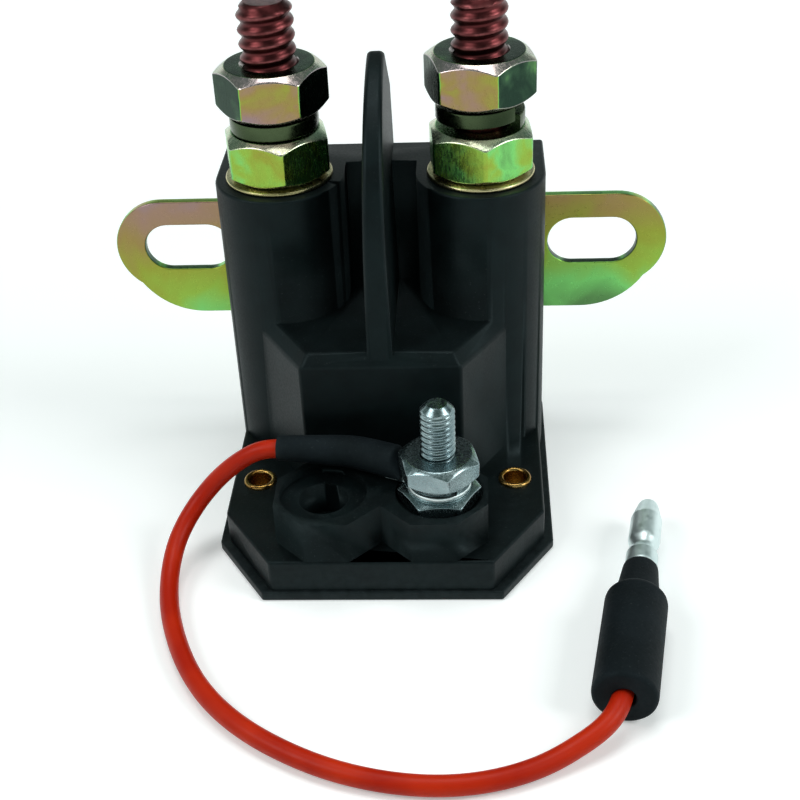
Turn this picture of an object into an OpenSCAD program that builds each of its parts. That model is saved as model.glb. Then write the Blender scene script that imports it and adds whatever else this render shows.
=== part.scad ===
// Starter solenoid relay: two copper main studs on a black moulded housing, a small
// control stud with a push-on lead, a slotted mounting bracket, and the coil, plunger
// and contact bridge that work inside. Millimetres, +Z up, the front faces -Y.
// The ground is Z = 0 and the origin is under the middle of the base and bracket.

/* [Base] */
// Width of the base cover
base_w = 49; // [48:0.5:60]
// Depth of the base, from its front edge to the flat back of the housing
base_d = 48.3; // [47:0.1:60]
// Width that each front corner of the base is cut off by
corner_w = 7.5; // [5:0.1:9]
// Depth that each front corner of the base is cut off by
corner_d = 11.5; // [9:0.1:14]
// Thickness of the base cover
cover_t = 1.5; // [1.2:0.1:3]
// Height of the housing's flange above the base cover
flange_h = 5; // [4.5:0.1:8]
// Width of the rim of base cover that shows beside the flange
flange_inset = 1.3; // [0.8:0.1:2]
// Depth of the rim of base cover that shows in front of the flange
front_inset = 0.5; // [0.3:0.1:1.5]

/* [Terminal towers] */
// Distance between the two main stud axes
stud_spacing = 29; // [28.4:0.1:30]
// Radius of each terminal tower
tower_r = 9.3; // [8.9:0.1:10]
// Height of the tower tops above the ground
tower_top_z = 48.4; // [44:0.1:60]
// Distance from the main stud axes back to the flat back of the housing
stud_to_back = 11.1; // [10.6:0.1:13]
// Thickness of the web that joins the towers at the back
web_t = 7; // [4:0.1:9]

/* [Coil housing] */
// Height of the ledge above the coil
ledge_z = 29; // [28.6:0.1:31]
// Width of the flat front of the coil housing
coil_front_w = 23; // [20:0.1:25]
// Distance from the main stud axes forward to the flat front of the coil housing
coil_front_reach = 19.2; // [18.6:0.1:21]
// Size of the sloped edge round the ledge
ledge_edge = 1.5; // [0.5:0.1:2]

/* [Barrier rib] */
// Height of the top of the rib between the studs
rib_top_z = 65.3; // [58:0.1:72]
// Thickness of the rib at the ledge
rib_foot_t = 3.8; // [3:0.1:5]
// Thickness of the rib at its top
rib_top_t = 2.5; // [1.5:0.1:3]
// Radius of the rounded front of the rib
rib_round_r = 25; // [15:0.5:27]

/* [Front bosses] */
// Distance between the axes of the two bosses
boss_spacing = 14.9; // [14.5:0.1:15]
// Distance between the axes of the control stud and of the unused hole
terminal_spacing = 16.4; // [16.2:0.1:16.6]
// Width across the flats of each eight-sided boss
boss_af = 15.1; // [15.1:0.1:16]
// Distance that the bosses stand back from the flange's front
boss_set_back = 0.15; // [0.1:0.05:0.6]
// Height of each boss above the flange
boss_h = 6.5; // [5:0.1:9]
// Diameter of the round recess in each boss
recess_d = 12.4; // [12:0.1:13]
// Depth of the round recess in each boss
recess_depth = 1.2; // [0.8:0.1:2]
// Diameter of the blind hole in the unused boss
spare_hole_d = 7; // [4:0.1:9]
// Depth of the blind hole in the unused boss
spare_hole_depth = 5; // [2:0.1:6]

/* [Main studs] */
// Diameter of the free end of each main stud
stud_d = 7.9; // [7.6:0.1:8.2]
// Diameter of each main stud inside its nuts
stud_core_d = 7.2; // [6.8:0.1:7.4]
// Height of the stud tips above the ground
stud_tip_z = 74; // [72:0.1:84]
// Size of the sloped edge on each stud tip
stud_tip_edge = 0.9; // [0.4:0.1:1.5]
// Width across the flats of each stud's head, which is the fixed contact
contact_af = 9.6; // [9:0.1:10]
// Height of each stud's head
contact_h = 2.5; // [2:0.1:3]

/* [Main stud hardware] */
// Diameter of the flat washers
flat_washer_d = 15.5; // [14.5:0.1:17]
// Thickness of the flat washers
flat_washer_t = 0.6; // [0.5:0.1:1.2]
// Width across the flats of the main nuts
main_nut_af = 14; // [13:0.1:14.5]
// Height of the main nuts
main_nut_h = 6.8; // [6:0.1:7.5]
// Outer diameter of the split lock washers
lock_washer_d = 12.6; // [12:0.1:13.5]
// Thickness of the split lock washers
lock_washer_t = 2.2; // [1.8:0.1:2.5]
// Height that the left lock washer still springs open by
left_washer_rise = 0.5; // [0.3:0.1:2]
// Height that the right lock washer still springs open by
right_washer_rise = 1.6; // [0.3:0.1:2]

/* [Control terminal] */
// Diameter of the free end of the control stud
control_stud_d = 4.9; // [4.6:0.1:5.2]
// Diameter of the control stud inside its nuts
control_core_d = 4.3; // [4:0.1:4.5]
// Height of the control stud's tip above the ground
control_tip_z = 27.8; // [26.5:0.1:34]
// Width across the flats of the control nuts
control_nut_af = 10.3; // [9:0.1:10.3]
// Height of the lower control nut
control_lower_nut_h = 2.4; // [2:0.1:3]
// Height of the upper control nut
control_upper_nut_h = 3.6; // [3:0.1:4.5]
// Outer diameter of the control lock washer
control_washer_d = 8.6; // [8:0.1:9.4]
// Thickness of the control lock washer
control_washer_t = 0.8; // [0.6:0.1:1.2]
// Thickness of the ring terminal
ring_t = 0.8; // [0.6:0.1:1]
// Outer diameter of the ring terminal
ring_d = 9; // [8.4:0.1:9.8]

/* [Mounting bracket] */
// Thickness of the bracket
bracket_t = 1.5; // [1.2:0.1:2.5]
// Distance between the centres of the two slots
slot_spacing = 63.5; // [62:0.5:72]
// Length of each slot
slot_l = 13.8; // [10:0.1:14]
// Width of each slot
slot_w = 7.7; // [6.5:0.1:8.2]
// Height of the slots' centres above the ground
slot_z = 31.3; // [28:0.1:36]
// Radius of each outer end of the bracket
ear_end_r = 7.8; // [7:0.1:9]
// Distance from each slot's centre out to the centre of the bracket's round end
ear_end_shift = 3.7; // [2:0.1:4.5]
// Radius of the lower curve of each ear
ear_drop_r = 11.7; // [10.5:0.1:12.5]
// Width of the strap that runs down behind the housing
strap_w = 24; // [16:0.5:26]

/* [Eyelets] */
// Distance between the two eyelets
eyelet_spacing = 38.2; // [37.6:0.1:40]
// Distance from the front edge of the base back to the eyelets
eyelet_back = 19.6; // [18:0.1:24]
// Diameter of the hole through each eyelet
eyelet_bore_d = 3.3; // [2.6:0.1:3.4]
// Wall of each eyelet
eyelet_wall = 0.35; // [0.25:0.05:0.4]
// Diameter of the rolled rims
eyelet_rim_d = 4.9; // [4.6:0.1:5.2]

/* [Lead] */
// Diameter of the insulated lead
lead_d = 2.7; // [2:0.1:2.8]
// Diameter of the sleeve over the ring terminal's crimp
sleeve_d = 4.8; // [4.5:0.1:5]
// Diameter of that sleeve where the lead comes out of it
sleeve_end_d = 3.7; // [3.6:0.1:4.4]
// Diameter of the sleeve on the bullet connector
bullet_sleeve_d = 8.5; // [7.5:0.1:8.5]
// Length of the sleeve on the bullet connector
bullet_sleeve_l = 18.5; // [15:0.5:22]
// Length of the sleeve's tapered neck
bullet_neck_l = 6.5; // [4:0.5:9]
// Diameter of the straight part of the bullet pin
bullet_d = 4.5; // [3.8:0.1:4.8]
// Length from the sleeve's neck to the bullet's tip
bullet_l = 15; // [12:0.5:20]

/* [Coil and frame] */
// Diameter of the bobbin's flanges
bobbin_d = 20.6; // [18:0.1:20.8]
// Thickness of the bobbin's flanges and hub
bobbin_wall = 0.8; // [0.6:0.1:1.2]
// Distance from the main stud axes forward to the coil's axis
coil_shift = 3; // [2.4:0.1:3.4]
// Height of the winding between the bobbin's flanges
winding_h = 10.4; // [8:0.1:10.6]
// Thickness of the steel frame under and beside the coil
frame_t = 1.2; // [1:0.1:1.5]
// Width of the steel frame, front to back
frame_w = 14; // [10:0.5:14]
// Thickness of the steel plate on top of the coil
pole_t = 1.5; // [1.2:0.1:1.7]

/* [Plunger and contacts] */
// Diameter of the plunger
plunger_d = 8.8; // [7:0.1:9.4]
// Length of the plunger
plunger_l = 6.8; // [6:0.1:7]
// Full travel of the plunger, which closes its air gap
plunger_travel = 2.7; // [2:0.1:2.8]
// Travel of the contact bridge until it meets the fixed contacts
bridge_travel = 2.4; // [1.8:0.1:2.4]
// Diameter of the push rod
rod_d = 2.4; // [2:0.1:2.8]
// Thickness of the contact bridge
bridge_t = 1.4; // [1:0.1:1.5]
// Width of the contact bridge
bridge_w = 7.4; // [6:0.1:7.6]
// Length of the contact bridge
bridge_l = 37; // [34:0.1:37.2]

/* [Hidden] */

// Shared clearances
slip = 0.05; // running clearance on a radius
air = 0.3; // clearance between parts that never touch
cut = 1; // overrun of a cut past a face

// Places that the pieces share
total_d = base_d + bracket_t;
front_y = -total_d / 2;
back_y = front_y + base_d;
stud_y = back_y - stud_to_back;
stud_x = stud_spacing / 2;
flange_z = cover_t + flange_h;
boss_top_z = flange_z + boss_h;
recess_z = boss_top_z - recess_depth;
boss_x = boss_spacing / 2;
terminal_x = terminal_spacing / 2;
boss_y = front_y + front_inset + boss_set_back + boss_af / 2;
coil_y = stud_y - coil_shift;
coil_front_y = stud_y - coil_front_reach;
eyelet_x = eyelet_spacing / 2;
eyelet_y = front_y + eyelet_back;

// Inside heights, from the ground up
foot_top_z = cover_t + bracket_t;
bobbin_z = foot_top_z + frame_t;
winding_z = bobbin_z + bobbin_wall;
pole_z = winding_z + winding_h + bobbin_wall;
chamber_z = pole_z + pole_t;
plunger_z = bobbin_z + air;
core_bottom_z = plunger_z + plunger_l + plunger_travel + slip;
seat_rest_gap = 0.6;
seat_t = 0.5;
contact_spring_l = 2.5;
bush_flange_t = 0.6;
insulator_t = 0.5;
clip_t = 0.4;
rod_end = 0.2;
seat_z = chamber_z + seat_rest_gap;
bush_z = seat_z + seat_t + contact_spring_l;
bridge_z = bush_z + bush_flange_t;
insulator_z = bridge_z + bridge_t;
clip_z = insulator_z + insulator_t;
rod_top_z = clip_z + clip_t + rod_end;
contact_gap_left = 0.1;
contact_face_z = insulator_z + bridge_travel + contact_gap_left;
contact_top_z = contact_face_z + contact_h;
ceiling_z = rod_top_z + plunger_travel + 2 * slip;

// Main stud stack, from the tower tops up
main_nut_z = tower_top_z + flat_washer_t;
washer_z = main_nut_z + main_nut_h;
left_nut_z = washer_z + lock_washer_t + left_washer_rise;
right_nut_z = washer_z + lock_washer_t + right_washer_rise;
lower_turn_left = 42; // degrees that each nut is turned by
lower_turn_right = 35;
upper_turn_left = 5.5;
upper_turn_right = -13.6;
left_split_at = 120; // direction of each lock washer's split, in degrees
right_split_at = -35;

// Control terminal stack, from the recess up
ring_z = recess_z + control_lower_nut_h;
control_washer_z = ring_z + ring_t;
control_washer_rise = 0.2;
control_nut_z = control_washer_z + control_washer_t + control_washer_rise;
control_lower_turn = 2; // degrees that each control nut is turned by
control_upper_turn = -16;
control_split_at = -60;
control_head_h = 1.8;
control_head_af = 7;
channel_h = 3.2; // height of the channel that the coil's feed lead runs in
channel_z = cover_t + channel_h;
lead_wire_r = 0.5;

// Route of the lead, from the crimp of the ring terminal to the crimp of the bullet
ROUTE = [
    [-2, -12.5, 16.3], [-4, -11.5, 16.3], [-9.5, -11, 16.3], [-15, -10.5, 16.3],
    [-18, -10.5, 15.9], [-21, -10.5, 14], [-24, -10.5, 11.3], [-26.5, -11.2, 8.6],
    [-28.5, -13, 6.4], [-30, -16, 4.5], [-30.5, -19.5, 3.1], [-30.4, -23.5, 2],
    [-29.6, -28, 1.5], [-28.2, -32.5, 1.4], [-26.2, -37.5, 1.4], [-23.5, -42.5, 1.4],
    [-20, -47, 1.4], [-15.6, -51, 1.4], [-10.5, -54.3, 1.4], [-5, -57, 1.4],
    [1, -58.8, 1.4], [7, -59.6, 1.4], [12.5, -59.3, 1.4], [17.5, -58, 1.4],
    [22, -56, 1.5], [26, -53.6, 2.3], [29.7, -51.4, 3.6], [31.5, -48, 4.3],
    [32.5, -42.5, 4.3]
];
SLEEVE_BEND = 1; // point where the terminal's sleeve bends
SLEEVE_END = 3; // point where the lead leaves the terminal's sleeve
last = len(ROUTE) - 1;
function turn_xy(a, b) = atan2(b[1] - a[1], b[0] - a[0]);
function span(a, b) = norm(b - a);
control_axis = [terminal_x, boss_y, ROUTE[0][2]];
crimp_turn = turn_xy(control_axis, ROUTE[0]);
crimp_reach = span(control_axis, ROUTE[0]);
crimp_wall = 0.5;
crimp_r = lead_d / 2 + crimp_wall;
crimp_l = 4.2;
bullet_turn = turn_xy(ROUTE[last - 1], ROUTE[last]);
bullet_wire_l = span(ROUTE[last - 1], ROUTE[last]);

// Round pieces are drawn finely; the lead has eight sides
fine = 96;
medium = 48;

// Places one copy at each main stud; side is -1 on the left and 1 on the right
module at_stud(side, z) {
    translate([side * stud_x, stud_y, z]) children();
}

module on_coil(z) {
    translate([0, coil_y, z]) children();
}

// Solid turned about Z from points of [radius, height]
module turned(points, n = fine) {
    rotate_extrude($fn = n) polygon(points);
}

// Hollow round piece
module ring(outer_r, inner_r, h, n = fine) {
    difference() {
        cylinder(r = outer_r, h = h, $fn = n);
        translate([0, 0, -cut]) cylinder(r = inner_r, h = h + 2 * cut, $fn = n);
    }
}

// Hexagon nut with both ends sloped off at its corners
module hex_nut(af, h, bore_r) {
    land_share = 0.94;
    corner_r = af / sqrt(3);
    land_r = af / 2 * land_share;
    slope_h = (corner_r - land_r) * tan(30);
    difference() {
        intersection() {
            cylinder(r = corner_r, h = h, $fn = 6);
            turned([
                [0, 0], [land_r, 0], [corner_r, slope_h],
                [corner_r, h - slope_h], [land_r, h], [0, h]
            ]);
        }
        translate([0, 0, -cut]) cylinder(r = bore_r, h = h + 2 * cut, $fn = fine);
    }
}

// One closed solid swept through a list of rings of points
module swept(rings) {
    n = len(rings[0]);
    m = len(rings);
    points = [for (r = rings) each r];
    sides = [
        for (i = [0 : m - 2], j = [0 : n - 1])
            each [
                [i * n + j, i * n + (j + 1) % n, (i + 1) * n + j],
                [i * n + (j + 1) % n, (i + 1) * n + (j + 1) % n, (i + 1) * n + j]
            ]
    ];
    first_cap = [for (j = [1 : n - 2]) [0, j + 1, j]];
    last_cap = [for (j = [1 : n - 2]) [(m - 1) * n, (m - 1) * n + j, (m - 1) * n + j + 1]];
    polyhedron(points = points, faces = concat(sides, first_cap, last_cap), convexity = 8);
}

// Split spring washer: one turn of square wire that climbs by its free rise
module split_washer(outer_r, inner_r, t, rise, split_at) {
    steps = 40;
    gap_deg = 12;
    sweep_deg = 360 - gap_deg;
    rings = [
        for (i = [0 : steps])
            let (share = i / steps, a = split_at + gap_deg / 2 + sweep_deg * share, z = rise * share)
            [
                [inner_r * cos(a), inner_r * sin(a), z],
                [outer_r * cos(a), outer_r * sin(a), z],
                [outer_r * cos(a), outer_r * sin(a), z + t],
                [inner_r * cos(a), inner_r * sin(a), z + t]
            ]
    ];
    swept(rings);
}

// Coil spring of round wire that stands between Z = 0 and its length
module coil_spring(mean_r, wire_r, l, turns) {
    per_turn = 12;
    sides = 6;
    steps = turns * per_turn;
    climb = (l - 2 * wire_r) / steps;
    rings = [
        for (i = [0 : steps])
            let (a = i * 360 / per_turn, z = wire_r + climb * i)
            [
                for (j = [0 : sides - 1])
                    let (b = j * 360 / sides, r = mean_r + wire_r * cos(b))
                    [r * cos(a), r * sin(a), z + wire_r * sin(b)]
            ]
    ];
    swept(rings);
}

// Directions along a route, and the ring of a round lead at one of its points
function along(p, i) =
    let (a = p[max(i - 1, 0)], b = p[min(i + 1, len(p) - 1)])
    (b - a) / norm(b - a);
function lead_ring(p, i, r, sides) =
    let (
        t = along(p, i),
        s = cross(t, [0, 0, 1]) / norm(cross(t, [0, 0, 1])),
        u = cross(s, t)
    )
    [for (j = [0 : sides - 1]) let (a = (j + 0.5) * 360 / sides) p[i] + r * (cos(a) * s + sin(a) * u)];

// Outline of the base seen from above, set in from the cover's edge
module base_outline(side_in, front_in, back_in) {
    w = base_w / 2 - side_in;
    f = front_y + front_in;
    b = back_y - back_in;
    polygon([
        [-w, f + corner_d], [-w + corner_w, f], [w - corner_w, f], [w, f + corner_d],
        [w, b], [-w, b]
    ]);
}

// Outline of the coil housing seen from above; its slanted faces end inside the towers
shoulder_x = stud_x + tower_r * 0.45;
shoulder_y = stud_y - tower_r * 0.8;
module coil_outline() {
    polygon([
        [-coil_front_w / 2, coil_front_y], [coil_front_w / 2, coil_front_y],
        [shoulder_x, shoulder_y], [shoulder_x, back_y], [-shoulder_x, back_y],
        [-shoulder_x, shoulder_y]
    ]);
}

// Slopes off the ledge's level edge from a to b; the housing lies on its left
module edge_slope(a, b, e) {
    l = span(a, b);
    translate([a[0], a[1], ledge_z - e])
        rotate([0, 0, turn_xy(a, b)])
            rotate([45, 0, 0])
                translate([-l, -e, 0]) cube([3 * l, 4 * e, 2 * e]);
}

module coil_block() {
    side_edge = ledge_edge * 1.2;
    difference() {
        translate([0, 0, cover_t]) linear_extrude(ledge_z - cover_t) coil_outline();
        edge_slope([-coil_front_w / 2, coil_front_y], [coil_front_w / 2, coil_front_y], ledge_edge);
        edge_slope([coil_front_w / 2, coil_front_y], [shoulder_x, shoulder_y], side_edge);
        edge_slope([-shoulder_x, shoulder_y], [-coil_front_w / 2, coil_front_y], side_edge);
    }
}

// Barrier rib: a rounded blade that is thinner at its top
module barrier_rib() {
    foot_z = ledge_z - 2 * ledge_edge;
    front = coil_front_y + ledge_edge / 2;
    round_y = front + rib_round_r;
    round_z = rib_top_z - rib_round_r;
    h = rib_top_z - foot_z;
    intersection() {
        translate([rib_foot_t, 0, 0])
            rotate([90, 0, -90])
                linear_extrude(2 * rib_foot_t)
                    difference() {
                        union() {
                            translate([-back_y, foot_z]) square([back_y - round_y, h]);
                            translate([-back_y, foot_z]) square([back_y - front, h - rib_round_r]);
                            translate([-round_y, round_z]) circle(r = rib_round_r, $fn = fine);
                        }
                        translate([-back_y, rib_top_z]) rotate([0, 0, -45]) square(4 * rib_top_t, center = true);
                    }
        translate([0, back_y, 0])
            rotate([90, 0, 0])
                linear_extrude(base_d + cut)
                    polygon([
                        [-rib_foot_t / 2, foot_z], [rib_foot_t / 2, foot_z],
                        [rib_top_t / 2, rib_top_z], [-rib_top_t / 2, rib_top_z]
                    ]);
    }
}

// Space that both towers share for the contacts, seen from above
tower_wall = 2;
chamber_shift = 1.5;
chamber_r = tower_r - tower_wall;
chamber_x = stud_x - chamber_shift;
module chamber_outline(inset) {
    r = chamber_r - inset;
    for (side = [-1, 1])
        translate([side * chamber_x, stud_y]) circle(r = r, $fn = fine);
    translate([-chamber_x, stud_y - r]) square([2 * chamber_x, 2 * r]);
}

coil_room_w = bobbin_d + 2 * (frame_t + air + slip);
coil_room_front = coil_y - bobbin_d / 2 - air / 2;
coil_room_back = coil_y + bobbin_d / 2 + air / 2;
foot_front = coil_y - frame_w / 2;

module housing_outside() {
    translate([0, 0, cover_t])
        linear_extrude(flange_h) base_outline(flange_inset, front_inset, 0);
    coil_block();
    for (side = [-1, 1]) {
        translate([side * stud_x, stud_y, cover_t])
            cylinder(r = tower_r, h = tower_top_z - cover_t, $fn = fine);
        translate([side * stud_x - tower_r, stud_y, cover_t])
            cube([2 * tower_r, stud_to_back, tower_top_z - cover_t]);
        translate([side * boss_x, boss_y, cover_t])
            rotate([0, 0, 22.5])
                cylinder(d = boss_af / cos(22.5), h = boss_top_z - cover_t, $fn = 8);
    }
    translate([-stud_x, back_y - web_t, cover_t])
        cube([2 * stud_x, web_t, tower_top_z - cover_t]);
    barrier_rib();
}

module housing() {
    pocket_r = contact_af / sqrt(3) + slip;
    color("#1c211f")
        difference() {
            housing_outside();
            // room for the contacts, from the open bottom up to its ceiling
            translate([0, 0, cover_t - cut])
                linear_extrude(ceiling_z - cover_t + cut) chamber_outline(0);
            // room for the coil, up to the shoulder that holds the pole plate down
            translate([-coil_room_w / 2, coil_room_front, cover_t - cut])
                cube([coil_room_w, coil_room_back - coil_room_front, chamber_z - cover_t + cut]);
            // way in for the bracket's foot
            translate([-strap_w / 2 - air, foot_front - air, cover_t - cut])
                cube([strap_w + 2 * air, back_y - foot_front + air + cut, bracket_t + cut + slip]);
            for (side = [-1, 1]) {
                // pocket that stops each main stud's head from turning, and its bore
                at_stud(side, ceiling_z - cut)
                    cylinder(r = pocket_r, h = contact_top_z - ceiling_z + cut, $fn = 6);
                at_stud(side, contact_top_z - cut)
                    cylinder(r = stud_d / 2 + slip, h = tower_top_z - contact_top_z + 2 * cut, $fn = fine);
                // recess in each boss
                translate([side * terminal_x, boss_y, recess_z])
                    cylinder(d = recess_d, h = recess_depth + cut, $fn = fine);
                // eyelet hole
                translate([side * eyelet_x, eyelet_y, cover_t - cut])
                    cylinder(r = eyelet_bore_d / 2 + eyelet_wall + slip, h = flange_h + 2 * cut, $fn = medium);
                // screw pilot
                translate([side * screw_x, screw_y, cover_t - cut])
                    cylinder(r = screw_r, h = screw_l - cover_t + cut + slip, $fn = medium);
            }
            // blind hole of the unused terminal
            translate([-terminal_x, boss_y, recess_z - spare_hole_depth])
                cylinder(d = spare_hole_d, h = spare_hole_depth + cut, $fn = medium);
            // bore of the control stud and the channel of its coil lead
            translate([terminal_x, boss_y, channel_z - cut])
                cylinder(r = control_stud_d / 2 + slip, h = recess_z - channel_z + 2 * cut, $fn = medium);
            translate([terminal_x - channel_w / 2, channel_front, cover_t - cut])
                cube([channel_w, coil_room_front - channel_front + cut, channel_z - cover_t + cut]);
        }
}

channel_w = control_head_af + 2 * air;
channel_front = boss_y - control_head_af / sqrt(3) - air;
screw_r = 1.3;
screw_grip = 4;
screw_l = cover_t + screw_grip;
screw_head_r = 2.4;
screw_x = base_w / 2 - flange_inset - 2 * screw_r;
screw_y = back_y - 2.5 * screw_r;

module base_cover() {
    color("#161a19")
        difference() {
            linear_extrude(cover_t) base_outline(0, 0, 0);
            for (side = [-1, 1]) {
                translate([side * eyelet_x, eyelet_y, -cut])
                    cylinder(r = eyelet_bore_d / 2 + eyelet_wall + slip, h = cover_t + 2 * cut, $fn = medium);
                translate([side * eyelet_x, eyelet_y, -cut])
                    cylinder(r = eyelet_rim_d / 2 + slip, h = cut + eyelet_rim_h, $fn = medium);
                translate([side * screw_x, screw_y, 0])
                    turned([
                        [0, -cut], [screw_head_r + slip, -cut], [screw_head_r + slip, 0],
                        [screw_r + slip, cover_t - slip], [screw_r + slip, cover_t + cut], [0, cover_t + cut]
                    ], medium);
            }
        }
}

eyelet_rim_h = 0.6;
// Brass eyelets with a rolled rim at both ends
module front_eyelets() {
    bore_r = eyelet_bore_d / 2;
    tube_r = bore_r + eyelet_wall;
    rim_r = eyelet_rim_d / 2;
    top_z = flange_z + eyelet_rim_h;
    roll = eyelet_rim_h / 3;
    color("#a8823c")
        for (side = [-1, 1])
            translate([side * eyelet_x, eyelet_y, 0])
                turned([
                    [bore_r, roll], [bore_r + roll, 0], [rim_r - roll, 0], [rim_r, roll],
                    [rim_r, eyelet_rim_h], [tube_r, eyelet_rim_h], [tube_r, flange_z], [rim_r, flange_z],
                    [rim_r, top_z - roll], [rim_r - roll, top_z], [bore_r + roll, top_z],
                    [bore_r, top_z - roll]
                ], medium);
}

module rear_screws() {
    color("#8d9092")
        for (side = [-1, 1])
            translate([side * screw_x, screw_y, 0])
                difference() {
                    turned([
                        [0, 0], [screw_head_r, 0], [screw_r, cover_t - slip], [screw_r - slip, cover_t],
                        [screw_r - slip, screw_l - screw_r], [0, screw_l]
                    ], medium);
                    // cross slot in the head
                    for (a = [0, 90])
                        rotate([0, 0, a])
                            translate([-screw_r, -screw_r / 4, -cut])
                                cube([2 * screw_r, screw_r / 2, cut + cover_t / 2]);
                }
}

// Bracket plate seen from behind: two ears with slots, and a strap down to the foot
module bracket_outline() {
    end_x = slot_spacing / 2 + ear_end_shift;
    drop_x = end_x + ear_end_r - ear_drop_r - (ear_end_r - slot_w / 2) * 0.35;
    difference() {
        union() {
            translate([-end_x, slot_z]) square([2 * end_x, ear_end_r]);
            translate([-drop_x, slot_z - ear_drop_r]) square([2 * drop_x, ear_drop_r]);
            for (side = [-1, 1]) {
                translate([side * end_x, slot_z]) circle(r = ear_end_r, $fn = fine);
                intersection() {
                    translate([side * drop_x, slot_z]) circle(r = ear_drop_r, $fn = fine);
                    translate([-end_x - ear_end_r, slot_z - ear_drop_r])
                        square([2 * (end_x + ear_end_r), ear_drop_r]);
                }
            }
            translate([-strap_w / 2, foot_top_z]) square([strap_w, slot_z - foot_top_z]);
        }
        for (side = [-1, 1]) {
            for (end = [-1, 1])
                translate([side * slot_spacing / 2 + end * (slot_l - slot_w) / 2, slot_z])
                    circle(d = slot_w, $fn = fine);
            translate([side * slot_spacing / 2 - (slot_l - slot_w) / 2, slot_z - slot_w / 2])
                square([slot_l - slot_w, slot_w]);
        }
    }
}

module mounting_bracket() {
    color("#b3ad62") {
        translate([0, back_y + bracket_t, 0])
            rotate([90, 0, 0])
                linear_extrude(bracket_t) bracket_outline();
        // foot that the coil frame stands on, with its bend at the back
        translate([-strap_w / 2, 0, 0])
            rotate([90, 0, 90])
                linear_extrude(strap_w)
                    intersection() {
                        translate([foot_front, cover_t])
                            square([back_y + bracket_t - foot_front, bracket_t]);
                        union() {
                            translate([foot_front, cover_t]) square([back_y - foot_front, bracket_t]);
                            translate([back_y, foot_top_z]) circle(r = bracket_t, $fn = medium);
                        }
                    }
    }
}

// Copper stud whose head is the fixed contact, thinner inside its nuts up to free_z
module main_stud(free_z) {
    edge = stud_tip_edge;
    core_z = tower_top_z + flat_washer_t;
    color("#8a3f45") {
        translate([0, 0, contact_face_z]) cylinder(d = contact_af / cos(30), h = contact_h, $fn = 6);
        turned([
            [0, contact_top_z - slip], [stud_d / 2, contact_top_z - slip],
            [stud_d / 2, core_z], [stud_core_d / 2, core_z],
            [stud_core_d / 2, free_z], [stud_d / 2, free_z],
            [stud_d / 2, stud_tip_z - edge], [stud_d / 2 - edge, stud_tip_z], [0, stud_tip_z]
        ]);
    }
}

module left_main_stud() {
    at_stud(-1, 0) main_stud(left_nut_z + main_nut_h);
}

module right_main_stud() {
    at_stud(1, 0) main_stud(right_nut_z + main_nut_h);
}

module flat_washer() {
    color("#9aa292") ring(flat_washer_d / 2, stud_d / 2 + slip, flat_washer_t);
}

module left_flat_washer() {
    at_stud(-1, tower_top_z) flat_washer();
}

module right_flat_washer() {
    at_stud(1, tower_top_z) flat_washer();
}

module main_nut(turn_deg) {
    color("#b7b06a")
        rotate([0, 0, turn_deg]) hex_nut(main_nut_af, main_nut_h, stud_core_d / 2 + slip);
}

module left_lower_nut() {
    at_stud(-1, main_nut_z) main_nut(lower_turn_left);
}

module right_lower_nut() {
    at_stud(1, main_nut_z) main_nut(lower_turn_right);
}

module left_upper_nut() {
    at_stud(-1, left_nut_z) main_nut(upper_turn_left);
}

module right_upper_nut() {
    at_stud(1, right_nut_z) main_nut(upper_turn_right);
}

module main_lock_washer(rise, split_at) {
    color("#8f988a")
        split_washer(lock_washer_d / 2, stud_d / 2 + slip, lock_washer_t, rise, split_at);
}

module left_lock_washer() {
    at_stud(-1, washer_z) main_lock_washer(left_washer_rise, left_split_at);
}

module right_lock_washer() {
    at_stud(1, washer_z) main_lock_washer(right_washer_rise, right_split_at);
}

// Places one copy on the control stud's axis
module at_control(z) {
    translate([terminal_x, boss_y, z]) children();
}

module control_stud() {
    head_r = control_head_af / sqrt(3);
    free_z = control_nut_z + control_upper_nut_h;
    edge = control_stud_d / 6;
    color("#b9bec0")
        at_control(0) union() {
            translate([0, 0, channel_z - control_head_h])
                rotate([0, 0, 30]) cylinder(r = head_r, h = control_head_h, $fn = 6);
            turned([
                [0, channel_z - slip], [control_stud_d / 2, channel_z - slip],
                [control_stud_d / 2, recess_z], [control_core_d / 2, recess_z],
                [control_core_d / 2, free_z], [control_stud_d / 2, free_z],
                [control_stud_d / 2, control_tip_z - edge], [control_stud_d / 2 - edge, control_tip_z],
                [0, control_tip_z]
            ]);
        }
}

module control_lower_nut() {
    color("#b9bec0")
        at_control(recess_z)
            rotate([0, 0, control_lower_turn])
                hex_nut(control_nut_af, control_lower_nut_h, control_core_d / 2 + slip);
}

module control_upper_nut() {
    color("#c3c8ca")
        at_control(control_nut_z)
            rotate([0, 0, control_upper_turn])
                hex_nut(control_nut_af, control_upper_nut_h, control_core_d / 2 + slip);
}

module control_lock_washer() {
    color("#a9aeb0")
        at_control(control_washer_z)
            split_washer(
                control_washer_d / 2, control_stud_d / 2 + slip, control_washer_t, control_washer_rise,
                control_split_at
            );
}

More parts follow.
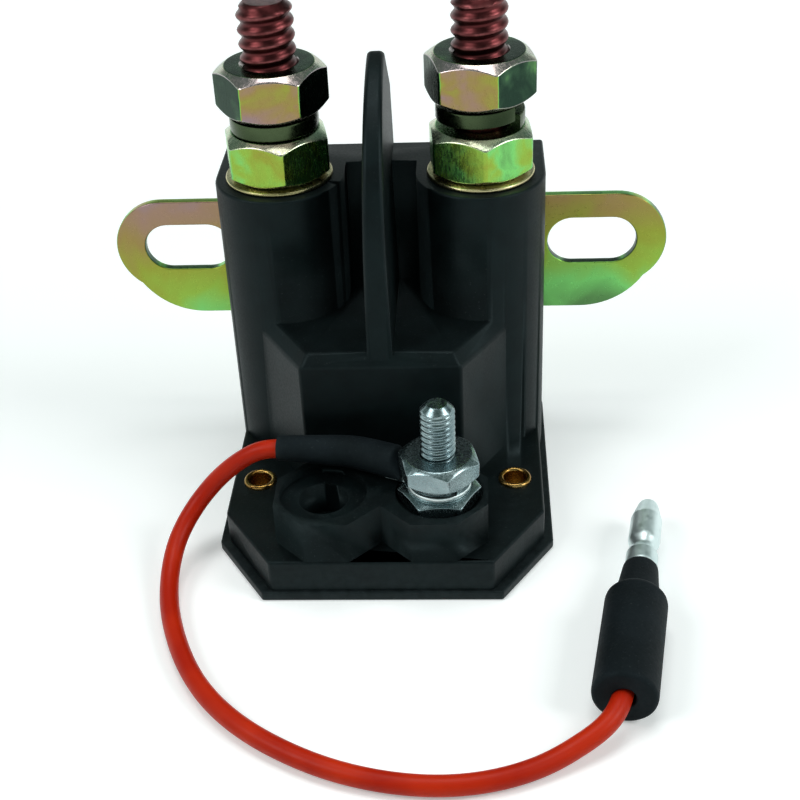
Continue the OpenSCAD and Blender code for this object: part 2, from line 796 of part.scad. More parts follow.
// Ring terminal: a flat ring, a neck and a crimped barrel round the end of the lead
module ring_terminal() {
    barrel_start = crimp_reach - crimp_l;
    neck_w = 2 * crimp_r * 0.8;
    color("#aeb2b0")
        at_control(0)
            rotate([0, 0, crimp_turn])
                difference() {
                    union() {
                        translate([0, 0, ring_z]) cylinder(d = ring_d, h = ring_t, $fn = medium);
                        translate([0, -neck_w / 2, ring_z]) cube([barrel_start + crimp_r / 2, neck_w, ring_t]);
                        translate([barrel_start, 0, ROUTE[0][2]])
                            rotate([0, 90, 0]) cylinder(r = crimp_r, h = crimp_l + crimp_r, $fn = medium);
                    }
                    translate([0, 0, ring_z - cut])
                        cylinder(r = control_core_d / 2 + slip, h = ring_t + 2 * cut, $fn = medium);
                    translate([crimp_reach - 2 * slip, 0, ROUTE[0][2]])
                        rotate([0, 90, 0]) cylinder(r = lead_d / 2 + slip, h = crimp_r + cut, $fn = medium);
                }
}

// Straight round rod between two points at one height, which may taper and turn on its axis
module level_rod(a, b, r, end_r, roll = 0) {
    translate(a)
        rotate([0, 90, turn_xy(a, b)])
            rotate([0, 0, roll])
                cylinder(r1 = r, r2 = end_r, h = span(a, b), $fn = medium);
}

// Round rod with one bend, cut to a mitre where its two legs meet; the second may taper
module bent_rod(a, bend, b, r, end_r) {
    turn_a = turn_xy(a, bend);
    turn_b = turn_xy(bend, b);
    mitre = (turn_a + turn_b) / 2;
    l = span(a, bend) + span(bend, b);
    past_a = bend + r * [cos(turn_a), sin(turn_a), 0];
    before_b = bend - r * [cos(turn_b), sin(turn_b), 0];
    intersection() {
        level_rod(a, past_a, r, r);
        translate(bend) rotate([0, 0, mitre]) translate([-l, -l, -l]) cube([l, 2 * l, 2 * l]);
    }
    intersection() {
        level_rod(before_b, b, r, end_r, roll = 180);
        translate(bend) rotate([0, 0, mitre]) translate([0, -l, -l]) cube([l, 2 * l, 2 * l]);
    }
}

// Soft sleeve over the crimp, bent and drawn in where the lead turns along the coil housing
module terminal_sleeve() {
    crimp_way = [cos(crimp_turn), sin(crimp_turn), 0];
    bend = ROUTE[SLEEVE_BEND];
    end = ROUTE[SLEEVE_END];
    start = control_axis + (crimp_reach - crimp_l + crimp_r / 2 + slip) * crimp_way;
    before_start = start - cut * crimp_way;
    crimp_end = control_axis + (crimp_reach + crimp_r + slip) * crimp_way;
    past_end = end + (end - bend) / span(bend, end) * cut;
    bore_r = lead_d / 2 + 2 * slip;
    color("#181c1b")
        difference() {
            bent_rod(start, bend, end, sleeve_d / 2, sleeve_end_d / 2);
            level_rod(before_start, crimp_end, crimp_r + slip, crimp_r + slip);
            bent_rod(start, bend, past_end, bore_r, bore_r);
        }
}

module lead_wire() {
    sides = 8;
    color("#d8442a") swept([for (i = [0 : last]) lead_ring(ROUTE, i, lead_d / 2, sides)]);
}

// Places a turned piece of the bullet connector along its own axis
module on_bullet() {
    translate(ROUTE[last - 1]) rotate([0, 90, bullet_turn]) children();
}

module bullet_sleeve() {
    r = bullet_sleeve_d / 2;
    round_r = r * 0.12;
    neck_r = r * 0.7;
    tip_r = bullet_d / 2 + 2 * slip;
    bore_r = lead_d / 2 + 2 * slip;
    inner_r = bullet_collar_r + slip;
    l = bullet_sleeve_l;
    full_l = l + bullet_neck_l;
    color("#17191a")
        on_bullet() turned([
            [bore_r, 0], [r - round_r, 0], [r, round_r], [r, l - round_r], [r - round_r, l],
            [neck_r, l], [inner_r + 4 * slip, full_l], [inner_r, full_l], [inner_r, bullet_wire_l - slip],
            [bore_r, bullet_wire_l - slip]
        ], medium);
}

bullet_collar_r = bullet_d / 2 * 0.93;
// Tinned bullet pin: crimp barrel inside the sleeve, a waist and a rounded nose
module bullet_terminal() {
    full_l = bullet_sleeve_l + bullet_neck_l;
    r = bullet_d / 2;
    tip = full_l + bullet_l;
    waist = full_l + bullet_l * 0.27;
    shoulder = full_l + bullet_l * 0.37;
    nose = full_l + bullet_l * 0.73;
    color("#b4b9ba")
        on_bullet() turned([
            [0, bullet_wire_l], [bullet_collar_r, bullet_wire_l], [bullet_collar_r, full_l],
            [r * 0.93, full_l], [r, full_l + r * 0.3], [r, waist - r * 0.5], [r * 0.75, waist],
            [r * 0.75, shoulder - r * 0.5], [r, shoulder], [r, nose], [r * 0.62, tip - r * 0.6],
            [r * 0.4, tip], [0, tip]
        ], medium);
}

frame_arm_x = bobbin_d / 2 + air;
// Steel strap under the coil and up both of its sides
module coil_frame() {
    color("#8b8f92")
        on_coil(foot_top_z) union() {
            translate([-frame_arm_x - frame_t, -frame_w / 2, 0])
                cube([2 * (frame_arm_x + frame_t), frame_w, frame_t]);
            for (side = [-1, 1])
                translate([side * (frame_arm_x + frame_t / 2) - frame_t / 2, -frame_w / 2, 0])
                    cube([frame_t, frame_w, pole_z - foot_top_z]);
        }
}

module pole_plate() {
    color("#7f8487")
        on_coil(pole_z) difference() {
            translate([-frame_arm_x - frame_t, -bobbin_d / 2, 0])
                cube([2 * (frame_arm_x + frame_t), bobbin_d, pole_t]);
            translate([0, 0, -cut]) cylinder(r = core_r, h = pole_t + 2 * cut, $fn = medium);
        }
}

hub_inner_r = plunger_d / 2 + 2 * slip;
hub_outer_r = hub_inner_r + bobbin_wall;
core_r = plunger_d / 2;
winding_r = bobbin_d / 2 - bobbin_wall / 2;

module coil_bobbin() {
    top = bobbin_wall + winding_h;
    color("#d9d2bd")
        on_coil(bobbin_z) turned([
            [hub_inner_r, 0], [bobbin_d / 2, 0], [bobbin_d / 2, bobbin_wall], [hub_outer_r, bobbin_wall],
            [hub_outer_r, top], [bobbin_d / 2, top], [bobbin_d / 2, top + bobbin_wall],
            [hub_inner_r, top + bobbin_wall]
        ]);
}

module coil_winding() {
    color("#9c4a24") on_coil(winding_z) ring(winding_r, hub_outer_r, winding_h);
}

// Fixed iron core that the plunger closes on, with the push rod's hole
module fixed_core() {
    color("#8b8f92") on_coil(core_bottom_z) ring(core_r, rod_d / 2 + 2 * slip, chamber_z - core_bottom_z);
}

coil_lead_out = winding_h / 4;
// Lead from the control stud's head up to the winding
module coil_feed_lead() {
    z = channel_z - control_head_h / 2;
    x = terminal_x;
    near_x = x - lead_wire_r;
    start_y = boss_y + control_head_af / sqrt(3);
    rise_y = coil_room_front + lead_wire_r + air / 2;
    end_y = coil_y - sqrt(winding_r * winding_r - near_x * near_x) - slip;
    top_z = winding_z + coil_lead_out;
    color("#b5552b") {
        translate([x, start_y, z]) rotate([-90, 0, 0]) cylinder(r = lead_wire_r, h = rise_y - start_y, $fn = 24);
        translate([x, rise_y, z]) sphere(r = lead_wire_r, $fn = 24);
        translate([x, rise_y, z]) cylinder(r = lead_wire_r, h = top_z - z, $fn = 24);
        translate([x, rise_y, top_z]) sphere(r = lead_wire_r, $fn = 24);
        translate([x, rise_y, top_z]) rotate([-90, 0, 0]) cylinder(r = lead_wire_r, h = end_y - rise_y, $fn = 24);
    }
}

// Lead from the winding down to the bracket's foot, which earths the coil
module coil_earth_lead() {
    x = -terminal_x;
    near_x = x + lead_wire_r;
    start_y = coil_y + sqrt(winding_r * winding_r - near_x * near_x) + slip;
    fall_y = coil_room_back - lead_wire_r - air / 2;
    top_z = winding_z + coil_lead_out;
    color("#b5552b") {
        translate([x, start_y, top_z]) rotate([-90, 0, 0]) cylinder(r = lead_wire_r, h = fall_y - start_y, $fn = 24);
        translate([x, fall_y, top_z]) sphere(r = lead_wire_r, $fn = 24);
        translate([x, fall_y, foot_top_z]) cylinder(r = lead_wire_r, h = top_z - foot_top_z, $fn = 24);
    }
}

spring_recess_r = plunger_d / 2 * 0.72;
spring_recess_h = plunger_l * 0.45;
module plunger() {
    color("#9da1a3")
        on_coil(plunger_z) turned([
            [rod_d / 2, 0], [plunger_d / 2, 0], [plunger_d / 2, plunger_l], [spring_recess_r, plunger_l],
            [spring_recess_r, plunger_l - spring_recess_h], [rod_d / 2, plunger_l - spring_recess_h]
        ]);
}

// Push rod, pressed into the plunger, with a shoulder under the spring seat
module push_rod() {
    seat_hole_r = rod_d / 2 * 0.8;
    groove_r = seat_hole_r * 0.75;
    color("#b9bdbf")
        on_coil(0) turned([
            [0, plunger_z], [rod_d / 2, plunger_z], [rod_d / 2, seat_z], [seat_hole_r, seat_z],
            [seat_hole_r, clip_z], [groove_r, clip_z], [groove_r, clip_z + clip_t],
            [seat_hole_r, clip_z + clip_t], [seat_hole_r, rod_top_z], [0, rod_top_z]
        ], medium);
}

// Spring between the plunger and the fixed core, which opens the contacts
module return_spring() {
    wire_r = 0.25;
    bottom_z = plunger_z + plunger_l - spring_recess_h;
    mean_r = (spring_recess_r + rod_d / 2) / 2 + wire_r;
    color("#c9ccce")
        on_coil(bottom_z) coil_spring(mean_r, wire_r, core_bottom_z - bottom_z, 5);
}

seat_r = 3;
module spring_seat() {
    color("#b0a37a") on_coil(seat_z) ring(seat_r, rod_d / 2 * 0.8 + slip, seat_t, medium);
}

// Spring under the contact bridge, which presses it on the fixed contacts
module contact_spring() {
    wire_r = 0.2;
    color("#c9ccce")
        on_coil(seat_z + seat_t) coil_spring(seat_r - 3 * wire_r, wire_r, contact_spring_l, 4);
}

bush_wall = 0.5;
bush_r = rod_d / 2 * 0.8 + slip + bush_wall;
module insulating_bush() {
    color("#7a2f22")
        on_coil(bush_z) turned([
            [rod_d / 2 * 0.8 + slip, 0], [seat_r, 0], [seat_r, bush_flange_t], [bush_r, bush_flange_t],
            [bush_r, bush_flange_t + bridge_t], [rod_d / 2 * 0.8 + slip, bush_flange_t + bridge_t]
        ], medium);
}

// Copper bar that joins the two fixed contacts, with its ends rounded to the chamber
module contact_bridge() {
    color("#b8663a")
        translate([0, 0, bridge_z])
            linear_extrude(bridge_t)
                difference() {
                    intersection() {
                        translate([-bridge_l / 2, coil_y - bridge_w / 2]) square([bridge_l, bridge_w]);
                        chamber_outline(2 * air);
                    }
                    translate([0, coil_y]) circle(r = bush_r + slip, $fn = medium);
                }
}

module insulating_washer() {
    color("#7a2f22") on_coil(insulator_z) ring(seat_r, rod_d / 2 * 0.8 + slip, insulator_t, medium);
}

// Retaining clip in the push rod's groove, open on one side
module retaining_clip() {
    groove_r = rod_d / 2 * 0.8 * 0.75;
    color("#77808a")
        on_coil(clip_z) difference() {
            ring(rod_d / 2 * 1.7, groove_r + slip, clip_t, medium);
            translate([0, -groove_r, -cut]) cube([rod_d * 2, 2 * groove_r, clip_t + 2 * cut]);
        }
}

housing();
base_cover();
mounting_bracket();
front_eyelets();
rear_screws();
left_main_stud();
right_main_stud();
left_flat_washer();
right_flat_washer();
left_lower_nut();
right_lower_nut();
left_lock_washer();
right_lock_washer();
left_upper_nut();
right_upper_nut();
control_stud();
control_lower_nut();
control_lock_washer();
control_upper_nut();
ring_terminal();
terminal_sleeve();
lead_wire();
bullet_sleeve();
bullet_terminal();
coil_frame();
pole_plate();
coil_bobbin();
coil_winding();
fixed_core();
coil_feed_lead();
coil_earth_lead();
plunger();
push_rod();
return_spring();
spring_seat();
contact_spring();
insulating_bush();
contact_bridge();
insulating_washer();
retaining_clip();
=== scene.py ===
# %% [markdown]
# # A starter solenoid relay, dressed for its picture
#
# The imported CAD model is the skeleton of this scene. It is loaded first and never changed.
# Each later cell adds one thing that the real relay shows: a thread, a soft edge, a plating
# colour or a bend in a lead. The camera comes first, because it decides what can be seen.

# %% Load the frame and note its size
import math

import bmesh
import bpy
from mathutils import Matrix, Vector
from mathutils.bvhtree import BVHTree


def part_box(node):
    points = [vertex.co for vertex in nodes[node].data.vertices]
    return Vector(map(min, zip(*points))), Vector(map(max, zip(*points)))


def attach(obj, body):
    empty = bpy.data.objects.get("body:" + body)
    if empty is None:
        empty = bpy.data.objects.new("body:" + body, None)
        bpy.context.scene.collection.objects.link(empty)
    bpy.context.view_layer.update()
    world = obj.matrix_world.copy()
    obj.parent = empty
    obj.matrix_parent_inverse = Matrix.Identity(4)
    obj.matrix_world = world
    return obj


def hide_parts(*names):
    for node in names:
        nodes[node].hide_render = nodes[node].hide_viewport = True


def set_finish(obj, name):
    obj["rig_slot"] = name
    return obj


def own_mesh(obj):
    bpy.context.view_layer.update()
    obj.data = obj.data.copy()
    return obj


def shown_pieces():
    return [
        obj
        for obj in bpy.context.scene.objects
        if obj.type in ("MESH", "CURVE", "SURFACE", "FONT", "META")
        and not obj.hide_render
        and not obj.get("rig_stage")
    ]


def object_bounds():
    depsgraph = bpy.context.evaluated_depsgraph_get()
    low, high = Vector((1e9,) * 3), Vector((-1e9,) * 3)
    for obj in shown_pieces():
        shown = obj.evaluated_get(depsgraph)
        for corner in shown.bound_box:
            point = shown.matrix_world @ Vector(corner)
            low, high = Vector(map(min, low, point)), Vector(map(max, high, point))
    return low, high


MM = 0.001
MERGE_MM = 0.002  # points nearer to each other than this become one
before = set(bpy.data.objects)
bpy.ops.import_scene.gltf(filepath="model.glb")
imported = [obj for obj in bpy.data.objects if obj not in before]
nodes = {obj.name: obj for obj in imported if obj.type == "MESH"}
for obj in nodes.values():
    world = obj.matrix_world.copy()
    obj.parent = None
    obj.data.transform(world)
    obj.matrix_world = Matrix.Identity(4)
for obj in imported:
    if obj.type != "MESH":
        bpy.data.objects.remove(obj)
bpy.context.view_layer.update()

# %% [markdown]
# ## Camera
#
# The relay was photographed from in front and above, and nearly square on. A camera is three
# directions and a place, so its rotation is written as a matrix whose columns are its right,
# its up and its back. That is easier to check against a photograph than three Euler angles.
# The focal length is in pixels of the picture, so it becomes millimetres on a sensor here.

# %% Camera at the photograph's angle
FRAME_PX = 800
FOCAL_PX = 1400
SENSOR_MM = 36
YAW = math.radians(3.87)
PITCH = math.radians(33.46)
ROLL = math.radians(-2.78)
CAMERA_PLACE = Vector((13.88, -173.26, 132.09)) * MM

forward = Vector((-math.sin(YAW) * math.cos(PITCH), math.cos(YAW) * math.cos(PITCH), -math.sin(PITCH)))
level_right = Vector((math.cos(YAW), math.sin(YAW), 0))
level_up = level_right.cross(forward)
right = math.cos(ROLL) * level_right + math.sin(ROLL) * level_up
up = -math.sin(ROLL) * level_right + math.cos(ROLL) * level_up

camera_data = bpy.data.cameras.new("camera")
camera_data.sensor_width = SENSOR_MM
camera_data.lens = FOCAL_PX / FRAME_PX * SENSOR_MM
camera = bpy.data.objects.new("camera", camera_data)
bpy.context.scene.collection.objects.link(camera)
camera.matrix_world = Matrix.Translation(CAMERA_PLACE) @ Matrix((right, up, -forward)).transposed().to_4x4()
bpy.context.scene.camera = camera
print("lens in mm:", round(camera_data.lens, 1))

# %% [markdown]
# ## The lead
#
# The real lead is insulated stranded wire, about 2.7 mm thick. It leaves the sleeve at the
# control stud, drops to the table and swings round in front to its bullet connector. A NURBS
# curve suits it: the curve glides past its points, so the small steps between points vanish.
# The points are the ones that the CAD lead follows. The curve is made a mesh at once, because
# a curve's own box is as wide as the width written at its points, here a whole metre.

# %% Lead along its route
ROUTE_MM = [
    (-2, -12.5, 16.3), (-4, -11.5, 16.3), (-9.5, -11, 16.3), (-15, -10.5, 16.3),
    (-18, -10.5, 15.9), (-21, -10.5, 14), (-24, -10.5, 11.3), (-26.5, -11.2, 8.6),
    (-28.5, -13, 6.4), (-30, -16, 4.5), (-30.5, -19.5, 3.1), (-30.4, -23.5, 2),
    (-29.6, -28, 1.5), (-28.2, -32.5, 1.4), (-26.2, -37.5, 1.4), (-23.5, -42.5, 1.4),
    (-20, -47, 1.4), (-15.6, -51, 1.4), (-10.5, -54.3, 1.4), (-5, -57, 1.4),
    (1, -58.8, 1.4), (7, -59.6, 1.4), (12.5, -59.3, 1.4), (17.5, -58, 1.4),
    (22, -56, 1.5), (26, -53.6, 2.3), (29.7, -51.4, 3.6), (31.5, -48, 4.3),
    (32.5, -42.5, 4.3),
]
LEAD_R = 1.35 * MM
SMOOTH_DEGREES = 50
route = [Vector(p) * MM for p in ROUTE_MM]


def tube_along(name, places, radius, widths=None):
    """A round mesh tube on a smooth NURBS line; widths scale the radius at each place."""
    curve = bpy.data.curves.new(name + "_line", "CURVE")
    curve.dimensions = "3D"
    curve.bevel_depth = radius
    curve.bevel_resolution = 5
    curve.resolution_u = 8
    curve.use_fill_caps = True
    line = curve.splines.new("NURBS")
    line.points.add(len(places) - 1)
    for i, place in enumerate(places):
        line.points[i].co = (*place, 1)
        line.points[i].radius = widths[i] if widths else 1
    line.order_u = 4
    line.use_endpoint_u = True
    line.use_smooth = True
    drawn = bpy.data.objects.new(name + "_line", curve)
    bpy.context.scene.collection.objects.link(drawn)
    skin = bpy.data.meshes.new_from_object(drawn.evaluated_get(bpy.context.evaluated_depsgraph_get()))
    bpy.data.objects.remove(drawn)
    mesh = bmesh.new()
    mesh.from_mesh(skin)
    bmesh.ops.remove_doubles(mesh, verts=mesh.verts, dist=MERGE_MM * MM)
    bmesh.ops.recalc_face_normals(mesh, faces=mesh.faces)
    mesh.to_mesh(skin)
    mesh.free()
    skin.shade_smooth()
    skin.set_sharp_from_angle(angle=math.radians(SMOOTH_DEGREES))
    tube = bpy.data.objects.new(name, skin)
    bpy.context.scene.collection.objects.link(tube)
    return tube


lead = tube_along("red_lead", route, LEAD_R)
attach(lead, "root")
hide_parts("lead_wire")
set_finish(lead, "lead_insulation")

# %% [markdown]
# ## A workbench for small pieces
#
# The hardware is made as a workshop makes it: round pieces are turned, flats are cut, threads
# are run up with a die. All of it is drawn in millimetres round the upright axis, and only at
# the end is a piece moved to its place and shrunk to metres. Its place comes from the box of
# the CAD node that it replaces, so it can't miss.

# %% Helpers that turn, close and place a piece
def middle_of(node):
    """The middle of a node's box, and its lowest and highest corner, in mm."""
    low, high = (Vector(corner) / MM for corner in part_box(node))
    return (low + high) / 2, low, high


def turn_profile(mesh, profile, steps=64, closed=False):
    """Spins a line of (radius, height) points round the upright axis, as a lathe would."""
    points = [mesh.verts.new((radius, 0, height)) for radius, height in profile]
    pairs = list(zip(points, points[1:])) + ([(points[-1], points[0])] if closed else [])
    line = [mesh.edges.new(pair) for pair in pairs]
    bmesh.ops.spin(
        mesh, geom=points + line, cent=(0, 0, 0), axis=(0, 0, 1), dvec=(0, 0, 0),
        angle=math.tau, steps=steps, use_merge=True,
    )


def cut_away(mesh, place, away):
    """Cuts off everything on one side of a plane, and leaves the cut open."""
    bmesh.ops.bisect_plane(
        mesh, geom=mesh.verts[:] + mesh.edges[:] + mesh.faces[:], dist=0.0001,
        plane_co=place, plane_no=away, clear_outer=True,
    )


def close_ends(mesh):
    """Fills every open loop with one face."""
    bmesh.ops.edgeloop_fill(mesh, edges=[edge for edge in mesh.edges if edge.is_boundary])


def soften(mesh, edges, width, segments=3, clamp=True):
    """Rounds edges by a width."""
    bmesh.ops.bevel(
        mesh, geom=edges, offset=width, offset_type="OFFSET", segments=segments, profile=0.5,
        affect="EDGES", clamp_overlap=clamp, material=-1,
    )


def folded_edges(mesh, degrees):
    """Edges whose two faces meet at more than an angle."""
    bmesh.ops.recalc_face_normals(mesh, faces=mesh.faces)
    mesh.normal_update()
    return [e for e in mesh.edges if e.is_manifold and e.calc_face_angle() > math.radians(degrees)]


def set_down(mesh, name, node, matrix, sharp_degrees=40):
    """Cleans a mesh drawn in mm, puts it in its place in metres, and replaces a CAD node by it."""
    bmesh.ops.remove_doubles(mesh, verts=mesh.verts, dist=MERGE_MM)
    bmesh.ops.recalc_face_normals(mesh, faces=mesh.faces)
    bmesh.ops.transform(mesh, matrix=Matrix.Scale(MM, 4) @ matrix, verts=mesh.verts)
    open_edges = sum(edge.is_boundary for edge in mesh.edges)
    data = bpy.data.meshes.new(name)
    mesh.to_mesh(data)
    mesh.free()
    data.shade_smooth()
    data.set_sharp_from_angle(angle=math.radians(sharp_degrees))
    piece = bpy.data.objects.new(name, data)
    bpy.context.scene.collection.objects.link(piece)
    flat_faces = piece.modifiers.new("flat_faces", "WEIGHTED_NORMAL")
    flat_faces.keep_sharp = True
    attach(piece, "root")
    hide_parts(node)
    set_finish(piece, nodes[node].data.materials[0].name)
    print(name, "faces:", len(data.polygons), "open edges:", open_edges)
    return piece


# %% [markdown]
# ## Main nuts
#
# A real hexagon nut is a turned blank with both ends sloped off, and six flats cut into it. The
# slopes are why each flat ends in a curve. So the blank is spun, six planes cut it, and each cut
# is filled with one flat face. Its corners and rims are then rounded a little, because plated
# steel has no knife edges, and the bright lines in the photograph come from those roundings.

# %% Nuts
def make_nut(node, across, bore, turn_degrees, land_share=0.9, slope_degrees=34, corner=0.4, rim=0.14):
    """A hexagon nut in the box of its node, from a blank a little wider than its corners."""
    centre, low, high = middle_of(node)
    height = high.z - low.z
    blank = across / math.sqrt(3) + 0.1
    land = across / 2 * land_share
    drop = (blank - land) * math.tan(math.radians(slope_degrees))
    sink = across / 26  # the small slope at each end of the bore
    mesh = bmesh.new()
    turn_profile(mesh, [
        (bore, sink), (bore + sink, 0), (land, 0), (blank, drop), (blank, height - drop),
        (land, height), (bore + sink, height), (bore, height - sink),
    ], steps=72, closed=True)
    for side in range(6):
        angle = math.radians(30 + 60 * side)
        away = Vector((math.cos(angle), math.sin(angle), 0))
        cut_away(mesh, away * across / 2, away)
        close_ends(mesh)
    # the six upright corners, but not the bore
    upright = [
        e for e in folded_edges(mesh, 40)
        if abs((e.verts[0].co - e.verts[1].co).normalized().z) > 0.9 and e.verts[0].co.xy.length > land
    ]
    soften(mesh, upright, corner)
    # where the slopes at both ends meet the flats
    rims = [e for e in folded_edges(mesh, 24) if min(v.co.xy.length for v in e.verts) > land * 0.98]
    soften(mesh, rims, rim, segments=2)
    turn = Matrix.Rotation(math.radians(turn_degrees), 4, "Z")
    return set_down(mesh, node + "_hexagon", node, Matrix.Translation((centre.x, centre.y, low.z)) @ turn)


MAIN_ACROSS = 14
MAIN_BORE = 3.65
main_nuts = [
    make_nut("left_upper_nut", MAIN_ACROSS, MAIN_BORE, turn_degrees=5.5),
    make_nut("right_upper_nut", MAIN_ACROSS, MAIN_BORE, turn_degrees=-13.6),
    make_nut("left_lower_nut", MAIN_ACROSS, MAIN_BORE, turn_degrees=42),
    make_nut("right_lower_nut", MAIN_ACROSS, MAIN_BORE, turn_degrees=35),
]
CONTROL_ACROSS = 10.3
CONTROL_BORE = 2.2
make_nut("control_upper_nut", CONTROL_ACROSS, CONTROL_BORE, turn_degrees=-16, corner=0.3, rim=0.1)
make_nut(
    "control_lower_nut", CONTROL_ACROSS, CONTROL_BORE, turn_degrees=2, slope_degrees=25, corner=0.3, rim=0.1,
)

# %% [markdown]
# ## Studs with real threads
#
# A thread is a wavy line, one pitch high, that climbs by one pitch in each turn round the stud.
# The spin operator does just that when it is given a step upwards. Each turn ends where the
# turn above it begins, so their doubles merge into one screw surface. Two planes cut its ends
# flat, and the tip is turned down: every vertex that stands outside the tip's slope moves in.

# %% Threads and studs
WAVES = 8  # points on one wave of the thread
TIP_SLOPE = 1.1
OVERLAP = 0.1  # how far the parts of a stud reach into each other


def run_thread(mesh, radius, depth, pitch, bottom, top, tip_r, steps):
    """A closed screw from bottom to top, with its tip turned down to a smaller radius."""
    turns = math.ceil((top - bottom) / pitch) + 2
    line = []
    for i in range(WAVES + 1):
        crest = 0.5 - 0.5 * math.cos(math.tau * i / WAVES)
        height = bottom - pitch * 1.02 + pitch * i / WAVES
        line.append(mesh.verts.new((radius - depth * (1 - crest), 0, height)))
    edges = [mesh.edges.new(pair) for pair in zip(line, line[1:])]
    bmesh.ops.spin(
        mesh, geom=line + edges, cent=(0, 0, 0), axis=(0, 0, 1), dvec=(0, 0, pitch / steps),
        angle=math.tau * turns, steps=steps * turns, use_merge=False,
    )
    bmesh.ops.remove_doubles(mesh, verts=mesh.verts, dist=MERGE_MM)
    cut_away(mesh, (0, 0, bottom), (0, 0, -1))
    cut_away(mesh, (0, 0, top), (0, 0, 1))
    close_ends(mesh)
    for vert in mesh.verts:
        limit = tip_r + (top - vert.co.z) * TIP_SLOPE
        if vert.co.xy.length > limit:
            vert.co.xy *= limit / vert.co.xy.length


def make_stud(node, nut, radius, core_r, head_r, head_h, shank_top, hidden, depth, pitch, tip_r, steps):
    """A stud: six-sided head, shank and core as in the CAD, and a thread that begins in its nut."""
    centre, low, high = middle_of(node)
    thread_foot = middle_of(nut)[2].z - hidden
    shank_foot, core_top = low.z + head_h - OVERLAP, thread_foot - OVERLAP
    mesh = bmesh.new()
    run_thread(mesh, radius, depth, pitch, thread_foot, high.z, tip_r, steps[0])
    turn_profile(mesh, [(0, low.z), (head_r, low.z), (head_r, low.z + head_h), (0, low.z + head_h)], steps=6)
    turn_profile(mesh, [
        (0, shank_foot), (radius, shank_foot), (radius, shank_top), (core_r, shank_top), (core_r, core_top),
        (0, core_top),
    ], steps=steps[1])
    set_down(mesh, node + "_threaded", node, Matrix.Translation((centre.x, centre.y, 0)), sharp_degrees=50)


for side in ("left", "right"):
    make_stud(
        side + "_main_stud", side + "_upper_nut", radius=3.95, core_r=3.6, head_r=5.54, head_h=2.5,
        shank_top=49, hidden=1.2, depth=0.6, pitch=2.0, tip_r=2.75, steps=(36, 48),
    )
make_stud(
    "control_stud", "control_upper_nut", radius=2.45, core_r=2.15, head_r=4.04, head_h=1.8,
    shank_top=11.8, hidden=0.7, depth=0.26, pitch=0.9, tip_r=1.35, steps=(32, 40),
)

# %% [markdown]
# ## Washers
#
# A split lock washer is a short coil of square wire, so it is spun just short of one turn while
# it climbs by the height that it still springs open. A flat washer is a thin ring whose outer
# edge was rolled over by the punch.

# %% Split and flat washers
SPLIT_DEGREES = 12
MAIN_HOLE_R = 4.0


def make_split_washer(node, stud, outer, inner, thick, split_at):
    """A split washer that climbs through the height of its node's box."""
    centre = middle_of(stud)[0]
    low, high = middle_of(node)[1:]
    soft = thick * 0.14  # how far its long edges are rounded
    steps = 60
    mesh = bmesh.new()
    section = [
        (inner, soft), (inner + soft, 0), (outer - soft, 0), (outer - soft * 0.3, soft * 0.3),
        (outer, soft), (outer, thick - soft), (outer - soft * 0.3, thick - soft * 0.3),
        (outer - soft, thick), (inner + soft, thick), (inner, thick - soft),
    ]
    start = Matrix.Rotation(math.radians(split_at + SPLIT_DEGREES / 2), 3, "Z")
    wire = [mesh.verts.new(start @ Vector((radius, 0, height))) for radius, height in section]
    ring = [mesh.edges.new((a, b)) for a, b in zip(wire, wire[1:] + wire[:1])]
    bmesh.ops.spin(
        mesh, geom=wire + ring, cent=(0, 0, 0), axis=(0, 0, 1), dvec=(0, 0, (high.z - low.z - thick) / steps),
        angle=math.radians(360 - SPLIT_DEGREES), steps=steps, use_merge=False,
    )
    close_ends(mesh)
    return set_down(mesh, node + "_coil", node, Matrix.Translation((centre.x, centre.y, low.z)))


def make_flat_washer(node):
    """A flat washer in the box of its node; its outer edge is drawn in shares of its thickness."""
    centre, low, high = middle_of(node)
    outer, thick = (high.x - low.x) / 2, high.z - low.z
    rolled = [(0.4, 0), (0.1, 0.15), (0, 0.45), (0.1, 0.8), (0.4, 1)]
    edge = [(outer - thick * inwards, thick * height) for inwards, height in rolled]
    mesh = bmesh.new()
    turn_profile(mesh, [(MAIN_HOLE_R, 0), *edge, (MAIN_HOLE_R, thick)], steps=96, closed=True)
    place = Matrix.Translation((centre.x, centre.y, low.z))
    return set_down(mesh, node + "_ring", node, place, sharp_degrees=50)


lock_washers = [
    make_split_washer(
        side + "_lock_washer", side + "_main_stud",
        outer=6.3, inner=MAIN_HOLE_R, thick=2.2, split_at=split_at,
    )
    for side, split_at in (("left", 120), ("right", -35))
]
flat_washers = [make_flat_washer("left_flat_washer"), make_flat_washer("right_flat_washer")]
make_split_washer("control_lock_washer", "control_stud", outer=4.3, inner=2.5, thick=0.8, split_at=-60)

# %% [markdown]
# ## Eyelets
#
# Each eyelet is a brass tube whose ends are rolled outwards over the flange. The rolled rims are
# half circles in section, so the line that is spun has its roundings drawn in. One eyelet is
# spun and copied, and the two are moved apart.

